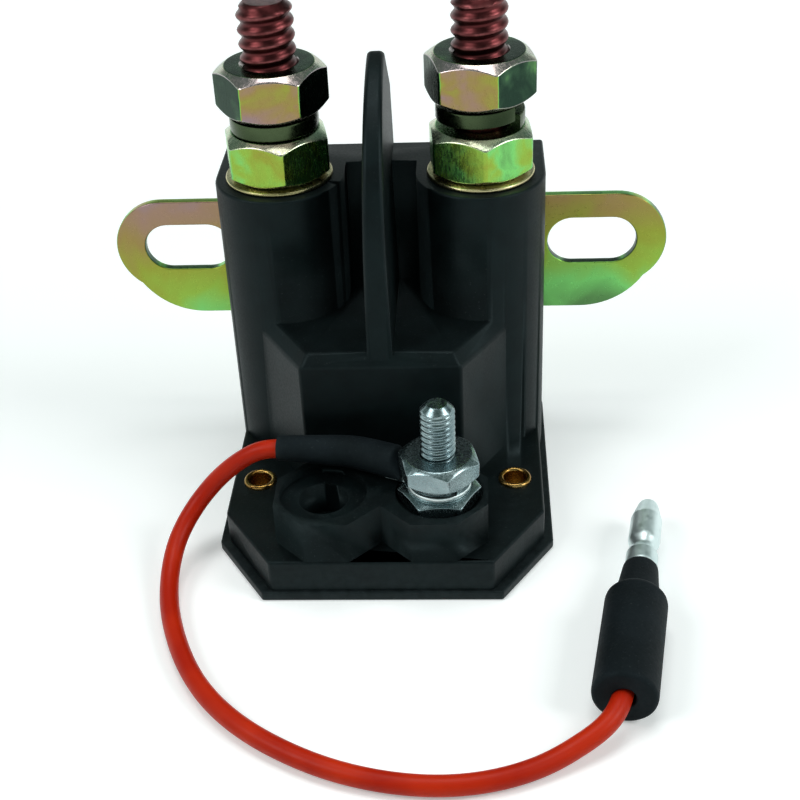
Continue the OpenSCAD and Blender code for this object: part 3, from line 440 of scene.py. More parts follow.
# %% Rolled brass eyelets
centre, low, high = middle_of("front_eyelets")
BORE_R, RIM_R, RIM_H, WALL = 1.65, 2.45, 0.6, 0.35
roll_r = (RIM_R - BORE_R) / 2
tube_r = BORE_R + WALL
curl = [
    (BORE_R + roll_r - roll_r * math.cos(math.radians(a)), roll_r * math.sin(math.radians(a)))
    for a in range(0, 181, 22)
]
upper = [(radius, high.z - roll_r + height) for radius, height in curl]
lower = [(radius, low.z + roll_r - height) for radius, height in reversed(curl)]
mesh = bmesh.new()
turn_profile(mesh, upper + [
    (RIM_R, high.z - RIM_H), (tube_r, high.z - RIM_H), (tube_r, low.z + RIM_H), (RIM_R, low.z + RIM_H),
] + lower, steps=48, closed=True)
second = bmesh.ops.duplicate(mesh, geom=mesh.verts[:] + mesh.edges[:] + mesh.faces[:])["geom"]
second_verts = [part for part in second if isinstance(part, bmesh.types.BMVert)]
first_verts = [vert for vert in mesh.verts if vert not in set(second_verts)]
apart = high.x - RIM_R
bmesh.ops.translate(mesh, vec=(apart, centre.y, 0), verts=second_verts)
bmesh.ops.translate(mesh, vec=(-apart, centre.y, 0), verts=first_verts)
set_down(mesh, "rolled_eyelets", "front_eyelets", Matrix.Identity(4), sharp_degrees=50)

# %% [markdown]
# ## The moulding, its cover and the bracket
#
# The CAD gives these their exact form, but with knife edges, and a knife edge catches no light.
# A copy of the node is merged, its flat triangles are joined back into whole faces, and its
# edges are rounded: by 0.4 mm on the moulding and less on stamped steel. Only the outer,
# folded-out edges are rounded. A ray sent out from the middle of each edge tells them from the
# edges of the chamber inside, which it can't leave. The thin rims round the eyelets, the screws
# and the bosses are too narrow for such a rounding, and the moulding's underside is hidden, so
# boxes round them are left out. The rib is softer on the real relay, so the edges in its box get
# a wider rounding.

# %% Copies with rounded edges
FOLD_DEGREES = 28
FLAT_DEGREES = 0.6
OFF_FACE = 0.05  # a ray starts this far from its edge


def lies_in(edge, box):
    """Whether an edge has its middle in a box of two corners."""
    middle = (edge.verts[0].co + edge.verts[1].co) / 2
    return all(low < place < high for low, place, high in zip(box[0], middle, box[1]))


def outer_edges(mesh, left_out):
    """Edges that stick out, are seen from outside, and have their middle in none of some boxes."""
    folded = folded_edges(mesh, FOLD_DEGREES)
    tree = BVHTree.FromBMesh(mesh)
    chosen = []
    for edge in folded:
        middle = (edge.verts[0].co + edge.verts[1].co) / 2
        way = (edge.link_faces[0].normal + edge.link_faces[1].normal).normalized()
        skipped = any(lies_in(edge, box) for box in left_out)
        if edge.is_convex and not skipped and tree.ray_cast(middle + way * OFF_FACE, way)[0] is None:
            chosen.append(edge)
    return chosen


def round_copy(node, name, width, segments=3, left_out=(), wide_box=None, wide_width=0):
    """A copy of a CAD node with its outer edges rounded, and those in one box rounded more widely."""
    mesh = bmesh.new()
    mesh.from_mesh(nodes[node].data)
    bmesh.ops.scale(mesh, vec=(1 / MM,) * 3, verts=mesh.verts)
    bmesh.ops.remove_doubles(mesh, verts=mesh.verts, dist=MERGE_MM)
    bmesh.ops.dissolve_limit(
        mesh, angle_limit=math.radians(FLAT_DEGREES), use_dissolve_boundaries=False,
        verts=mesh.verts, edges=mesh.edges,
    )
    if wide_box:
        wide = [edge for edge in outer_edges(mesh, left_out) if lies_in(edge, wide_box)]
        soften(mesh, wide, wide_width, segments + 2, clamp=False)
        left_out = [*left_out, wide_box]
    edges = outer_edges(mesh, left_out)
    soften(mesh, edges, width, segments, clamp=False)
    print("rounded edges:", len(edges), end=" ")
    set_down(mesh, name, node, Matrix.Identity(4), sharp_degrees=45)


def boxes_round(x, y, reach, top):
    """Two boxes round the upright axes of a pair of round pieces, one on each side."""
    return [((side * x - reach, y - reach, -1), (side * x + reach, y + reach, top)) for side in (-1, 1)]


# every box is its lowest and its highest corner, in mm
eyelet_boxes = boxes_round(apart, centre.y, reach=2.6, top=8)
centre, low, high = middle_of("rear_screws")
screw_reach = (high.y - low.y) / 2 + 0.5
screw_boxes = boxes_round(high.x - screw_reach, centre.y, reach=screw_reach, top=3)
boss_box = ((-15.6, -24.8, 6.7), (15.6, -8.5, 14))
underside_box = ((-30, -30, 1.4), (30, 30, 1.6))
chamber_box = ((-18.4, -15.9, 1.4), (18.4, 22, 6.3))
rib_box = ((-2.4, -20, 29.6), (2.4, 22, 70))
round_copy(
    "housing", "relay_moulding", 0.4, left_out=[*eyelet_boxes, boss_box, underside_box, chamber_box],
    wide_box=rib_box, wide_width=0.7,
)
round_copy("base_cover", "bottom_cover", 0.25, segments=2, left_out=eyelet_boxes + screw_boxes)
round_copy("mounting_bracket", "slotted_bracket", 0.2, segments=2)
round_copy("ring_terminal", "ring_tongue", 0.1, segments=1)

# %% [markdown]
# ## Sleeves and the bullet
#
# The sleeve over the ring terminal is soft tube, pushed on over the crimp. It is fat at the stud
# and narrows to the lead, so a tube along a curve with its own width at each point suits it. Its
# open end lies under the nut's corners, on the flat ring, so the tube is pressed flat there. The
# connector's sleeve and its bullet pin are turned pieces that lie on the table, so their lines
# are spun upright first and then laid along the direction of the lead's end.

# %% Sleeve of the ring terminal
SLEEVE_Z, RING_Z = 16.3, 15.0
SLEEVE_R = 2.4
PRESSED_OUT_TO, PRESSED_OVER, PRESSED_SHARE = 6.7, 1.6, 0.38
SLEEVE_POINTS = [
    (3.6, -14.8, 1), (2.6, -14.4, 1), (1.6, -13.95, 1.02), (0.2, -13.4, 1.02), (-1.5, -12.6, 1),
    (-4, -11.6, 0.98), (-7, -11.2, 0.92), (-10, -10.95, 0.85), (-12.6, -10.7, 0.8), (-15, -10.5, 0.77),
]
sleeve_places = [Vector((x, y, SLEEVE_Z)) * MM for x, y, width in SLEEVE_POINTS]
sleeve_widths = [width for x, y, width in SLEEVE_POINTS]
terminal_sleeve = tube_along("soft_sleeve", sleeve_places, SLEEVE_R * MM, sleeve_widths)
stud_axis = middle_of("control_stud")[0].xy * MM
for vert in terminal_sleeve.data.vertices:
    near = (vert.co.xy - stud_axis).length / MM
    pressed = max(0, min(1, (PRESSED_OUT_TO - near) / PRESSED_OVER))
    vert.co.z += (RING_Z * MM + (vert.co.z - SLEEVE_Z * MM) * PRESSED_SHARE - vert.co.z) * pressed
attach(terminal_sleeve, "root")
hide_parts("terminal_sleeve")
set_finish(terminal_sleeve, "sleeve_pvc")
print("soft sleeve points:", len(sleeve_places))

# %% Connector sleeve and bullet pin
bullet_start = Vector(ROUTE_MM[-2])
bullet_way = (Vector(ROUTE_MM[-1]) - bullet_start).normalized()
laid = Matrix.Translation(bullet_start) @ bullet_way.to_track_quat("Z", "Y").to_matrix().to_4x4()
SLEEVE_L, NECK_L, BULLET_L = 18.5, 6.5, 15
full_l = SLEEVE_L + NECK_L

mesh = bmesh.new()
turn_profile(mesh, [
    (1.45, 0.25), (1.7, 0), (3.6, 0), (3.95, 0.1), (4.17, 0.35), (4.25, 0.75), (4.25, 17.5),
    (4.16, 18), (3.9, 18.4), (3.5, 18.6), (3.2, 18.9), (3.0, 19.6), (2.72, 22), (2.5, 24.4),
    (2.42, 24.85), (2.3, full_l), (2.14, full_l), (2.14, 5.5), (1.45, 5.5),
], steps=56, closed=True)
set_down(mesh, "connector_sleeve", "bullet_sleeve", laid, sharp_degrees=50)

mesh = bmesh.new()
turn_profile(mesh, [
    (0, 5.6), (2.08, 5.6), (2.08, full_l), (2.14, full_l + 0.25), (2.25, full_l + 0.6),
    (2.25, full_l + 2.7), (2.17, full_l + 3), (1.95, full_l + 3.35), (1.72, full_l + 3.75),
    (1.69, full_l + 4.2), (1.74, full_l + 4.5), (2.05, full_l + 5.2), (2.22, full_l + 5.7),
    (2.25, full_l + 6.2), (2.25, full_l + 10.6), (2.16, full_l + 11.1), (1.52, full_l + 13.9),
    (1.36, full_l + 14.3), (1.0, full_l + 14.4), (0.86, full_l + 14.55), (0.8, full_l + BULLET_L),
    (0, full_l + BULLET_L),
], steps=56)
set_down(mesh, "bullet_pin", "bullet_terminal", laid, sharp_degrees=50)

# %% [markdown]
# ## The winding
#
# Nobody sees the coil until the relay is taken apart, but then its wire shows as fine rings. A
# line with one small bump for each turn of wire, spun round the coil's axis, gives them.

# %% Winding with its turns of wire
centre, low, high = middle_of("coil_winding")
WIRE_D, GROOVE, WINDING_BORE_R = 0.52, 0.156, 7
winding_r = (high.x - low.x) / 2
turns = int((high.z - low.z) / WIRE_D)
bumps = [
    (winding_r - GROOVE * (1 - math.sin(math.radians(a))), (turn + a / 180) * WIRE_D)
    for turn in range(turns) for a in (0, 45, 90, 135)
]
ends = [(winding_r - GROOVE, turns * WIRE_D), (WINDING_BORE_R, turns * WIRE_D)]
mesh = bmesh.new()
turn_profile(mesh, [(WINDING_BORE_R, 0), *bumps, *ends], closed=True)
wound_at = Matrix.Translation((centre.x, centre.y, low.z))
set_down(mesh, "wound_wire", "coil_winding", wound_at, sharp_degrees=80)

# %% [markdown]
# ## The two springs
#
# A spring is wire wound on a helix, so it is a tube along points that go round and climb. Neither
# spring follows one body: the return spring is pressed against the fixed core, and the contact
# spring travels with its bridge and gives only by the last of the plunger's stroke. Here both are
# made at rest and attached to the root.


def make_spring(node, wire_r, turns, per_turn=12):
    """A helix of wire in the box of its node, attached to the root."""
    centre, low, high = middle_of(node)
    height = high.z - low.z
    # the NURBS line passes inside its points by this share
    inside = (2 + math.cos(math.tau / per_turn)) / 3
    coil_r = ((high.x - low.x) / 2 - wire_r) / inside
    places = []
    for i in range(turns * per_turn + 1):
        angle = math.tau * i / per_turn
        climb = wire_r + (height - 2 * wire_r) * i / (turns * per_turn)
        places.append(Vector((
            centre.x + coil_r * math.cos(angle), centre.y + coil_r * math.sin(angle), low.z + climb,
        )) * MM)
    spring = tube_along(node + "_wire", places, wire_r * MM)
    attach(spring, "root")
    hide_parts(node)
    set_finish(spring, "spring_steel")
    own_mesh(spring)


make_spring("return_spring", wire_r=0.25, turns=5)
make_spring(
    "contact_spring", wire_r=0.2, turns=4,
)

# %% [markdown]
# ## Helpers for materials
#
# A material is a list of nodes and links. These helpers keep each material cell short. Patterns
# are sized in millimetres, so the object's coordinates, which are in metres, are scaled up first.

# %% Helpers that build materials
def colour(code):
    """A colour written as on a web page, as the linear values that a shader needs."""
    values = [int(code[i:i + 2], 16) / 255 for i in (0, 2, 4)]
    return (*(v / 12.92 if v <= 0.04045 else ((v + 0.055) / 1.055) ** 2.4 for v in values), 1)


def new_material(name, **values):
    """A material with nodes, and its Principled shader with its sockets set by name."""
    material = bpy.data.materials.new(name)
    material.use_nodes = True
    shader = material.node_tree.nodes["Principled BSDF"]
    for socket, value in values.items():
        shader.inputs[socket.replace("_", " ")].default_value = value
    return material, shader


def add_node(tree, kind, **values):
    """A node of a kind, with its input sockets set by name."""
    node = tree.nodes.new(kind)
    for name, value in values.items():
        node.inputs[name.replace("_", " ")].default_value = value
    return node


def join(tree, source, source_socket, target, target_socket):
    tree.links.new(source.outputs[source_socket], target.inputs[target_socket])


def do_sum(tree, operation, first, second):
    """A Math node of two terms, each a number or a (node, socket) pair."""
    node = tree.nodes.new("ShaderNodeMath")
    node.operation = operation
    for i, term in enumerate((first, second)):
        if isinstance(term, tuple):
            join(tree, term[0], term[1], node, i)
        else:
            node.inputs[i].default_value = term
    return node


def in_mm(tree):
    """The point on the object, in millimetres."""
    place = tree.nodes.new("ShaderNodeTexCoord")
    larger = tree.nodes.new("ShaderNodeVectorMath")
    larger.operation = "SCALE"
    larger.inputs["Scale"].default_value = 1 / MM
    join(tree, place, "Object", larger, 0)
    return larger


def blend_colours(tree, mask, low_colour, high_colour):
    """A colour mix by a mask; each colour is a value or a (node, socket) pair."""
    mix = tree.nodes.new("ShaderNodeMix")
    mix.data_type = "RGBA"
    join(tree, *mask, mix, 0)
    for socket, value in ((6, low_colour), (7, high_colour)):
        if isinstance(value[0], bpy.types.Node):
            join(tree, *value, mix, socket)
        else:
            mix.inputs[socket].default_value = value
    return (mix, 2)


def range_of(tree, source, low, high, to_low, to_high):
    """A Map Range node that is clamped at both ends."""
    node = add_node(tree, "ShaderNodeMapRange", From_Min=low, From_Max=high, To_Min=to_low, To_Max=to_high)
    join(tree, *source, node, "Value")
    return (node, "Result")


def product(tree, *terms):
    """Math nodes that multiply numbers or (node, socket) pairs."""
    result = terms[0]
    for term in terms[1:]:
        result = (do_sum(tree, "MULTIPLY", result, term), 0)
    return result


def paint(piece, material):
    """Gives a piece one material in place of what it has."""
    piece.data.materials.clear()
    piece.data.materials.append(material)


# %% [markdown]
# ## Shared effects
#
# Four effects come up again and again on this relay: a fine unevenness of the surface, edges
# drawn bright or pale (wear and a painted edge highlight), dust that has settled on top, and the
# rainbow film of yellow zinc, which also carries painted shade and a painted highlight. Each is
# one node group with a few inputs, so that plastic, brass and steel can share them.

# %% Node group helpers
def new_group(name, inputs, outputs):
    """A node group with number inputs and named outputs, and its two end nodes."""
    group = bpy.data.node_groups.new(name, "ShaderNodeTree")
    for label, value in inputs.items():
        socket = group.interface.new_socket(name=label, in_out="INPUT", socket_type="NodeSocketFloat")
        socket.default_value = value
    for label, kind in outputs.items():
        group.interface.new_socket(name=label, in_out="OUTPUT", socket_type=kind)
    return group, group.nodes.new("NodeGroupInput"), group.nodes.new("NodeGroupOutput")


def use_group(tree, group, **values):
    """Places a node group in a material and sets its inputs."""
    node = tree.nodes.new("ShaderNodeGroup")
    node.node_tree = group
    for name, value in values.items():
        node.inputs[name.replace("_", " ")].default_value = value
    return node


# %% Surface grain
BROAD_SHARE = 0.08  # the tone drifts this much more slowly than the grain
grain, given, result = new_group(
    "surface_grain", {"Per mm": 2.0, "Upright stretch": 1.0},
    {"Height": "NodeSocketFloat", "Tone": "NodeSocketFloat"},
)
place = in_mm(grain)
axes = grain.nodes.new("ShaderNodeSeparateXYZ")
join(grain, place, 0, axes, 0)
stretched = do_sum(grain, "DIVIDE", (axes, "Z"), (given, "Upright stretch"))
again = grain.nodes.new("ShaderNodeCombineXYZ")
join(grain, axes, "X", again, "X")
join(grain, axes, "Y", again, "Y")
join(grain, stretched, 0, again, "Z")
fine = add_node(grain, "ShaderNodeTexNoise", Detail=3.0, Roughness=0.6)
join(grain, again, 0, fine, "Vector")
join(grain, given, "Per mm", fine, "Scale")
broad = add_node(grain, "ShaderNodeTexNoise", Detail=2.0, Roughness=0.5)
join(grain, place, 0, broad, "Vector")
join(grain, *product(grain, (given, "Per mm"), BROAD_SHARE), broad, "Scale")
join(grain, fine, "Fac", result, "Height")
join(grain, broad, "Fac", result, "Tone")

# %% Pale edges: wear and a painted edge highlight
# convex edges, found by pointiness, blend to a paler colour: partly wear, partly a painted edge highlight
edge_wear_and_highlight, given, result = new_group("edges_wear_and_highlight", {"Amount": 0.5}, {"Mask": "NodeSocketFloat"})
shape = edge_wear_and_highlight.nodes.new("ShaderNodeNewGeometry")
edge_mask = range_of(edge_wear_and_highlight, (shape, "Pointiness"), 0.52, 0.62, 0, 1)
speckle = add_node(edge_wear_and_highlight, "ShaderNodeTexNoise", Scale=0.9, Detail=4.0)
join(edge_wear_and_highlight, in_mm(edge_wear_and_highlight), 0, speckle, "Vector")
patchy = range_of(edge_wear_and_highlight, (speckle, "Fac"), 0.35, 0.65, 0.2, 1)
join(edge_wear_and_highlight, *product(edge_wear_and_highlight, edge_mask, patchy, (given, "Amount")), result, "Mask")

# %% Settled dust
dust, given, result = new_group("settled_dust", {"Amount": 0.3}, {"Mask": "NodeSocketFloat"})
shape = dust.nodes.new("ShaderNodeNewGeometry")
axes = dust.nodes.new("ShaderNodeSeparateXYZ")
join(dust, shape, "Normal", axes, 0)
upwards = range_of(dust, (axes, "Z"), 0.2, 1, 0.15, 1)
specks = add_node(dust, "ShaderNodeTexNoise", Scale=2.6, Detail=5.0, Roughness=0.75)
join(dust, in_mm(dust), 0, specks, "Vector")
lone = range_of(dust, (specks, "Fac"), 0.6, 0.72, 0, 1)
join(dust, *product(dust, upwards, lone, (given, "Amount")), result, "Mask")

# %% [markdown]
# The rainbow of yellow chromate is a thin film whose colour depends on its thickness. The film
# is thicker where the bath drained slowly, so it changes with height and in soft clouds. The film
# is also drawn thinner on faces that point sideways and on level tops, and the ramp turns that
# into dark green: painted shade, the dark reflection of the room and of the parts beside them. A
# noise, the height and the way that a face points add up to a thickness, and a colour ramp turns
# that into green, olive, tan and lilac. The sloped ends of a nut are drawn in pale zinc, a painted
# highlight.

# %% Rainbow film of yellow zinc, with painted shade and a painted highlight
THINNEST = -0.22  # no single term thins the film by more
# painted highlight: the pale colour that the sloped ends of nuts are drawn in
CHAMFER_HIGHLIGHT = "d6c8cc"
FILM_COLOURS = [
    (0.0, "24382d"), (0.14, "38543e"), (0.26, "5c8a52"), (0.34, "78c66c"), (0.44, "8cae46"),
    (0.54, "8f973c"), (0.66, "94804c"), (0.78, "967a68"), (0.88, "8b7a90"), (1.0, "72988a"),
]
film, given, result = new_group(
    "rainbow_film_and_painted_shade",
    {"Per mm": 0.12, "Start": 0.5, "Clouds": 0.6, "Rise": 0.0, "Middle": 31.0, "Across": 0.0,
     "Side": 0.5, "Top": 0.35, "Slope": 0.0},
    {"Colour": "NodeSocketColor"},
)
place = in_mm(film)
axes = film.nodes.new("ShaderNodeSeparateXYZ")
join(film, place, 0, axes, 0)
cloud = add_node(film, "ShaderNodeTexNoise", Detail=2.5, Roughness=0.55, Distortion=0.6)
join(film, place, 0, cloud, "Vector")
join(film, given, "Per mm", cloud, "Scale")
shape = film.nodes.new("ShaderNodeNewGeometry")
facing = film.nodes.new("ShaderNodeSeparateXYZ")
join(film, shape, "Normal", facing, 0)
across = (do_sum(film, "ABSOLUTE", (facing, "X"), 0), 0)
upright = (do_sum(film, "ABSOLUTE", (facing, "Z"), 0), 0)
# painted shade: faces that point sideways or lie level thin the film, which the ramp turns dark green
side_shade = range_of(film, across, 0.35, 0.78, 0, 1)
level = range_of(film, upright, 0.88, 0.98, 0, 1)
steep = range_of(film, upright, 0.15, 0.5, 0, 1)
terms = [
    product(film, (do_sum(film, "SUBTRACT", (cloud, "Fac"), 0.5), 0), (given, "Clouds")),
    product(film, (do_sum(film, "SUBTRACT", (axes, "Z"), (given, "Middle")), 0), (given, "Rise")),
    product(film, (axes, "X"), (given, "Across")),
]
thickness = (given, "Start")
for term in terms:
    thickness = (do_sum(film, "ADD", thickness, (do_sum(film, "MAXIMUM", term, THINNEST), 0)), 0)
for amount, name in ((side_shade, "Side"), (level, "Top")):
    thickness = (do_sum(film, "SUBTRACT", thickness, product(film, amount, (given, name))), 0)
ramp = film.nodes.new("ShaderNodeValToRGB")
for place_on_ramp, code in FILM_COLOURS[2:]:
    ramp.color_ramp.elements.new(place_on_ramp - 0.001)
for element, (place_on_ramp, code) in zip(ramp.color_ramp.elements, FILM_COLOURS):
    element.position = place_on_ramp
    element.color = colour(code)
join(film, *thickness, ramp, "Fac")
# painted highlight: sloped faces blend to pale zinc
sloped = product(film, (do_sum(film, "SUBTRACT", steep, level), 0), (given, "Slope"))
join(film, *blend_colours(film, sloped, (ramp, "Color"), colour(CHAMFER_HIGHLIGHT)), result, "Colour")
print("node groups:", [group.name for group in bpy.data.node_groups])

# %% [markdown]
# ## What all finishes share
#
# Nearly every finish on this relay has a tone that drifts over a few millimetres, and all have a
# roughness that varies with a fine grain, and a very shallow relief from that same grain. The
# plastics have specks of dust too. Colours and numbers set one finish apart from another.

# %% Shared parts of a finish
TONE_RANGE = (0.35, 0.65, 0, 1)
GRAIN_RANGE = (0.3, 0.7)


def two_tones(tree, surface, deep, pale):
    """A colour that drifts between two tones."""
    drift = range_of(tree, (surface, "Tone"), *TONE_RANGE)
    return blend_colours(tree, drift, colour(deep), colour(pale))


def with_specks(tree, body, amount, code):
    """A colour with specks of dust on it."""
    return blend_colours(tree, (use_group(tree, dust, Amount=amount), "Mask"), body, colour(code))


def add_finish(tree, shader, surface, body, rough, spread, bump, strength=0.5):
    """Gives a shader its colour, a roughness that varies with the grain, and a relief in mm."""
    join(tree, *body, shader, "Base Color")
    varied = range_of(tree, (surface, "Height"), *GRAIN_RANGE, rough - spread, rough + spread)
    join(tree, *varied, shader, "Roughness")
    relief = add_node(tree, "ShaderNodeBump", Strength=strength, Distance=bump * MM)
    join(tree, surface, "Height", relief, "Height")
    join(tree, relief, "Normal", shader, "Normal")


# %% [markdown]
# ## Black plastics
#
# The moulding is a glass-filled black plastic with a faint teal cast. It is a little glossy, and
# its convex edges are drawn slightly pale, partly as wear and partly as a painted edge highlight.
# The cover, the soft sleeves and the moulding differ only in a few numbers, so one function
# makes all three.

# %% Plastic finishes
TEAL_TINT = (0.7, 0.96, 1.0, 1)
# the first colour is the pale edge: partly wear, partly a painted edge highlight
PALE_EDGE_WEAR_AND_HIGHLIGHT, GREY_DUST = "3c4648", "5a6464"


def dark_plastic(name, deep, pale, rough, bump, per_mm, specular, wear_and_highlight_amount=0.25):
    """A black plastic with grain, a drifting tone, pale edges that are wear and a painted highlight, and a
    little dust.
    """
    material, shader = new_material(name, Specular_IOR_Level=specular, Specular_Tint=TEAL_TINT)
    tree = material.node_tree
    surface = use_group(tree, grain, Per_mm=per_mm)
    edges = use_group(tree, edge_wear_and_highlight, Amount=wear_and_highlight_amount)
    body = blend_colours(tree, (edges, "Mask"), two_tones(tree, surface, deep, pale), colour(PALE_EDGE_WEAR_AND_HIGHLIGHT))
    body = with_specks(tree, body, 0.3, GREY_DUST)
    add_finish(tree, shader, surface, body, rough, 0.06, bump, 0.6)
    return material


finishes = {
    "black_plastic": dark_plastic("moulded_black", "070c0d", "0c1415", 0.46, 0.02, 3.0, 0.15),
    "cover_plastic": dark_plastic("cover_black", "070b0c", "0c1112", 0.5, 0.02, 3.0, 0.18, wear_and_highlight_amount=0.5),
    "sleeve_pvc": dark_plastic("soft_black", "090d10", "101519", 0.7, 0.03, 2.2, 0.15, wear_and_highlight_amount=0.2),
}
print("plastics:", list(finishes))

# %% [markdown]
# ## Plated and bare metals
#
# What sets the metals apart is where their colour comes from. Yellow zinc takes the rainbow film,
# and the others drift between two tones of one metal. Some have a painted highlight: their edges
# and thread crests are drawn in a bright colour. On the nuts the grain is drawn out upwards, as
# the cutter left it.

# %% Metal finishes
def metal_finish(
    name, base, rough, per_mm, bump=0.01, stretch=1.0, spread=0.08, bright=None, rim=(1, 1, 1, 1),
):
    """A metal whose base is two colours, or a function that gives a colour source in the tree."""
    material, shader = new_material(name, Metallic=1.0, Specular_Tint=rim)
    tree = material.node_tree
    surface = use_group(tree, grain, Per_mm=per_mm, Upright_stretch=stretch)
    body = base(tree) if callable(base) else two_tones(tree, surface, *base)
    # painted highlight: convex edges and thread crests blend to the bright colour
    if bright:
        body = blend_colours(tree, (use_group(tree, edge_wear_and_highlight, Amount=0.7), "Mask"), body, colour(bright))
    add_finish(tree, shader, surface, body, rough, spread, bump)
    return material


def film_source(**values):
    """A function that places the rainbow film in a material's tree."""
    return lambda tree: (use_group(tree, film, **values), "Colour")


# Side and Top set the painted shade on the nuts' side facets and tops, Slope the painted highlight on their
# sloped ends
upper_zinc = metal_finish(
    "upper_nut_yellow_zinc",
    film_source(Per_mm=0.2, Start=0.7, Clouds=0.8, Side=0.7, Top=0.66, Slope=0.7),
    0.24, 2.0, 0.01, 3.0, rim=(0.74, 0.76, 0.74, 1),
)
lower_zinc = metal_finish(
    "lower_nut_yellow_zinc",
    film_source(Per_mm=0.22, Start=0.45, Clouds=0.5, Side=0.1, Top=0.2, Slope=0.55),
    0.26, 2.4, 0.014, 3.0,
)
washer_zinc = metal_finish("washer_zinc", ("2a3524", "46533a"), 0.26, 1.4)
rim_zinc = metal_finish("rubbed_zinc", ("9a9468", "d0c69a"), 0.3, 1.4)
finishes["yellow_zinc"] = metal_finish(
    "bracket_yellow_zinc",
    film_source(Per_mm=0.09, Start=0.56, Rise=0.02, Across=-0.002, Clouds=0.35),
    0.3, 2.2, 0.004, spread=0.04,
)
# the last column is a painted highlight colour for edges and thread crests, or None
METALS = [
    ("copper_stud", "maroon_copper", ("381a1b", "582a2b"), 0.36, 1.2, 0.02, "c87c7c"),
    ("zinc_steel", "bright_zinc", ("74878b", "9aabad"), 0.27, 2.4, 0.014, None),
    ("tinned", "tin_plate", ("ccdcdc", "ecf8f8"), 0.42, 1.2, 0.01, "f0f4f4"),
    ("brass", "rolled_brass", ("8a6224", "c0a260"), 0.27, 2.0, 0.01, "efe0a8"),
    ("screw_steel", "screw_steel", ("6c7072", "8c9092"), 0.35, 2.0, 0.01, None),
    ("coil_steel", "bare_soft_steel", ("70757a", "8a8f92"), 0.4, 1.4, 0.015, None),
    ("spring_steel", "spring_wire", ("80868c", "a6acb0"), 0.25, 3.0, 0.006, None),
    ("contact_copper", "bare_copper", ("a8583c", "d08a64"), 0.3, 1.4, 0.012, None),
    ("copper", "enamelled_wire", ("7c3416", "a8542c"), 0.22, 3.0, 0.006, None),
]
for slot, name, tones, rough, per_mm, bump, bright in METALS:
    finishes[slot] = metal_finish(name, tones, rough, per_mm, bump, bright=bright)
print("finishes:", sorted(finishes))

# %% [markdown]
# ## Lead, nylon and phenolic
#
# The lead's orange-red jacket is smooth and slightly waxy. The hidden insulating pieces are an
# off-white moulded nylon and a brown phenolic. The light goes a little way into the jacket and
# the nylon, so these two get a touch of subsurface.

# %% Jacket and insulating plastics
def pale_plastic(name, deep, light, rough, per_mm, subsurface, speck):
    """A coloured plastic whose tone drifts, with a shallow grain."""
    material, shader = new_material(
        name, Subsurface_Weight=subsurface, Subsurface_Scale=0.6 * MM, Specular_IOR_Level=0.16,
    )
    tree = material.node_tree
    surface = use_group(tree, grain, Per_mm=per_mm)
    body = with_specks(tree, two_tones(tree, surface, deep, light), 0.25, speck)
    add_finish(tree, shader, surface, body, rough, 0.05, 0.02)
    return material


finishes["lead_insulation"] = pale_plastic("orange_red_jacket", "b01e04", "c62c0a", 0.42, 1.5, 0.15, "8a3c24")
finishes["bobbin_nylon"] = pale_plastic("moulded_nylon", "cfc6ae", "e2dcc8", 0.5, 1.2, 0.2, "9a958a")
finishes["phenolic"] = pale_plastic("brown_phenolic", "4a2418", "64351f", 0.4, 2.0, 0.0, "9a958a")

# %% Every node and piece gets its finish
for name, node in nodes.items():
    paint(node, finishes[node.data.materials[0].name.split(".")[0]])
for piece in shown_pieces():
    if "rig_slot" in piece:
        paint(piece, finishes[piece["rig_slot"]])
special = [
    (main_nuts[:2], upper_zinc), (main_nuts[2:], lower_zinc),
    (lock_washers, washer_zinc), (flat_washers, rim_zinc),
]
for group, material in special:
    for piece in group:
        paint(piece, material)

# %% [markdown]
# ## Stage and light
#
# The relay stands on a white table in soft studio light. The table is a plain white floor that
# is a little brighter to the camera than its light alone would make it, so that it reads as
# white paper and still keeps the relay's shadow. That extra grows outwards, where the lamps fade,
# and the floor curves up at its far rim, so that a low view has no horizon. From below the floor
# can't be seen, so that the base can be looked at. The room above is dim and greenish, and the
# tops of the nuts reflect that, while their sides reflect the bright table.

# %% Floor and room
FLAT_R, DISH_R, DISH_Z = 1.2, 2.4, 0.85  # in metres
FLOOR_GAP = 0.05 * MM
GLOW_NEAR, GLOW_FAR = (0.1, 0.3), (0.9, 1.0)  # distance in metres, and strength there
DIM_GREEN = (0.12, 0.17, 0.155, 1)
floor_mesh = bmesh.new()
turn_profile(floor_mesh, [(0, 0), (0.2, 0), (0.6, 0), (FLAT_R, 0)] + [
    (FLAT_R + (DISH_R - FLAT_R) * math.sin(math.radians(a)), DISH_Z * (1 - math.cos(math.radians(a))))
    for a in range(10, 91, 10)
], steps=96)
bmesh.ops.remove_doubles(floor_mesh, verts=floor_mesh.verts, dist=0.0001)
bmesh.ops.translate(floor_mesh, vec=(0, 0, -FLOOR_GAP), verts=floor_mesh.verts)
floor_mesh.normal_update()
floor_mesh.faces.ensure_lookup_table()
if floor_mesh.faces[0].normal.z < 0:
    bmesh.ops.reverse_faces(floor_mesh, faces=floor_mesh.faces)
floor_data = bpy.data.meshes.new("table_top")
floor_mesh.to_mesh(floor_data)
floor_mesh.free()
floor_data.shade_smooth()
floor = bpy.data.objects.new("table_top", floor_data)
bpy.context.scene.collection.objects.link(floor)
floor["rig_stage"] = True

floor_material, floor_shader = new_material(
    "white_table", Base_Color=(0.86, 0.88, 0.88, 1), Roughness=0.7, Specular_IOR_Level=0.2,
)
floor_tree = floor_material.node_tree
glow = add_node(floor_tree, "ShaderNodeEmission", Color=(0.97, 1.0, 1.0, 1))
path = floor_tree.nodes.new("ShaderNodeLightPath")
seen = do_sum(floor_tree, "ADD", (path, "Is Camera Ray"), (path, "Is Glossy Ray"))
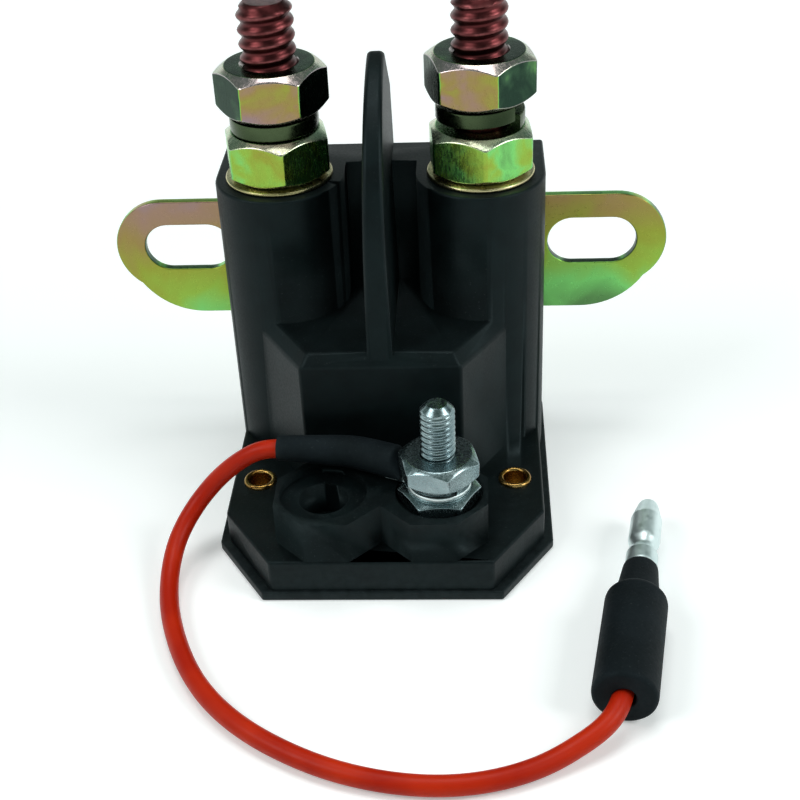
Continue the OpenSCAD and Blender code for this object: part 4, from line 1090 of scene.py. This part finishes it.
seen = do_sum(floor_tree, "ADD", (seen, 0), (path, "Is Transmission Ray"))
spot = floor_tree.nodes.new("ShaderNodeTexCoord")
away = floor_tree.nodes.new("ShaderNodeVectorMath")
away.operation = "LENGTH"
join(floor_tree, spot, "Object", away, 0)
fading = range_of(floor_tree, (away, "Value"), GLOW_NEAR[0], GLOW_FAR[0], GLOW_NEAR[1], GLOW_FAR[1])
join(floor_tree, *product(floor_tree, (seen, 0), fading), glow, "Strength")
both = floor_tree.nodes.new("ShaderNodeAddShader")
join(floor_tree, floor_shader, 0, both, 0)
join(floor_tree, glow, 0, both, 1)
shape = floor_tree.nodes.new("ShaderNodeNewGeometry")
one_sided = floor_tree.nodes.new("ShaderNodeMixShader")
join(floor_tree, shape, "Backfacing", one_sided, 0)
join(floor_tree, both, 0, one_sided, 1)
join(floor_tree, floor_tree.nodes.new("ShaderNodeBsdfTransparent"), 0, one_sided, 2)
join(floor_tree, one_sided, 0, floor_tree.nodes["Material Output"], 0)
paint(floor, floor_material)

world = bpy.data.worlds.new("studio")
bpy.context.scene.world = world
world.use_nodes = True
sky = world.node_tree.nodes["Background"]
sky.inputs["Color"].default_value = DIM_GREEN
sky.inputs["Strength"].default_value = 1.0
bpy.context.scene.view_settings.view_transform = "Standard"
print("floor and room ready")


# %% Lamps
RELAY_MIDDLE = Vector((0, 0, 0.03))


def add_lamp(name, place, size, watts):
    """A square soft lamp that looks at the middle of the relay."""
    data = bpy.data.lights.new(name, "AREA")
    data.size = size
    data.energy = watts
    lamp = bpy.data.objects.new(name, data)
    bpy.context.scene.collection.objects.link(lamp)
    lamp.location = place
    lamp.rotation_mode = "QUATERNION"
    lamp.rotation_quaternion = (RELAY_MIDDLE - Vector(place)).to_track_quat("-Z", "Y")


add_lamp("lamp_left", (-0.45, -0.25, 0.55), size=0.3, watts=1.85)
add_lamp("lamp_right", (0.5, -0.15, 0.45), size=0.25, watts=1.75)
add_lamp("lamp_top", (0.0, 0.1, 0.75), size=0.35, watts=1.85)
print("lamps:", [light.name for light in bpy.data.lights])

# %% [markdown]
# ## Finish
#
# The last cell prints the size of what is shown.

# %% Sizes and the last line
low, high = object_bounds()
print("visual size in mm:", [round(v / MM, 1) for v in high - low])
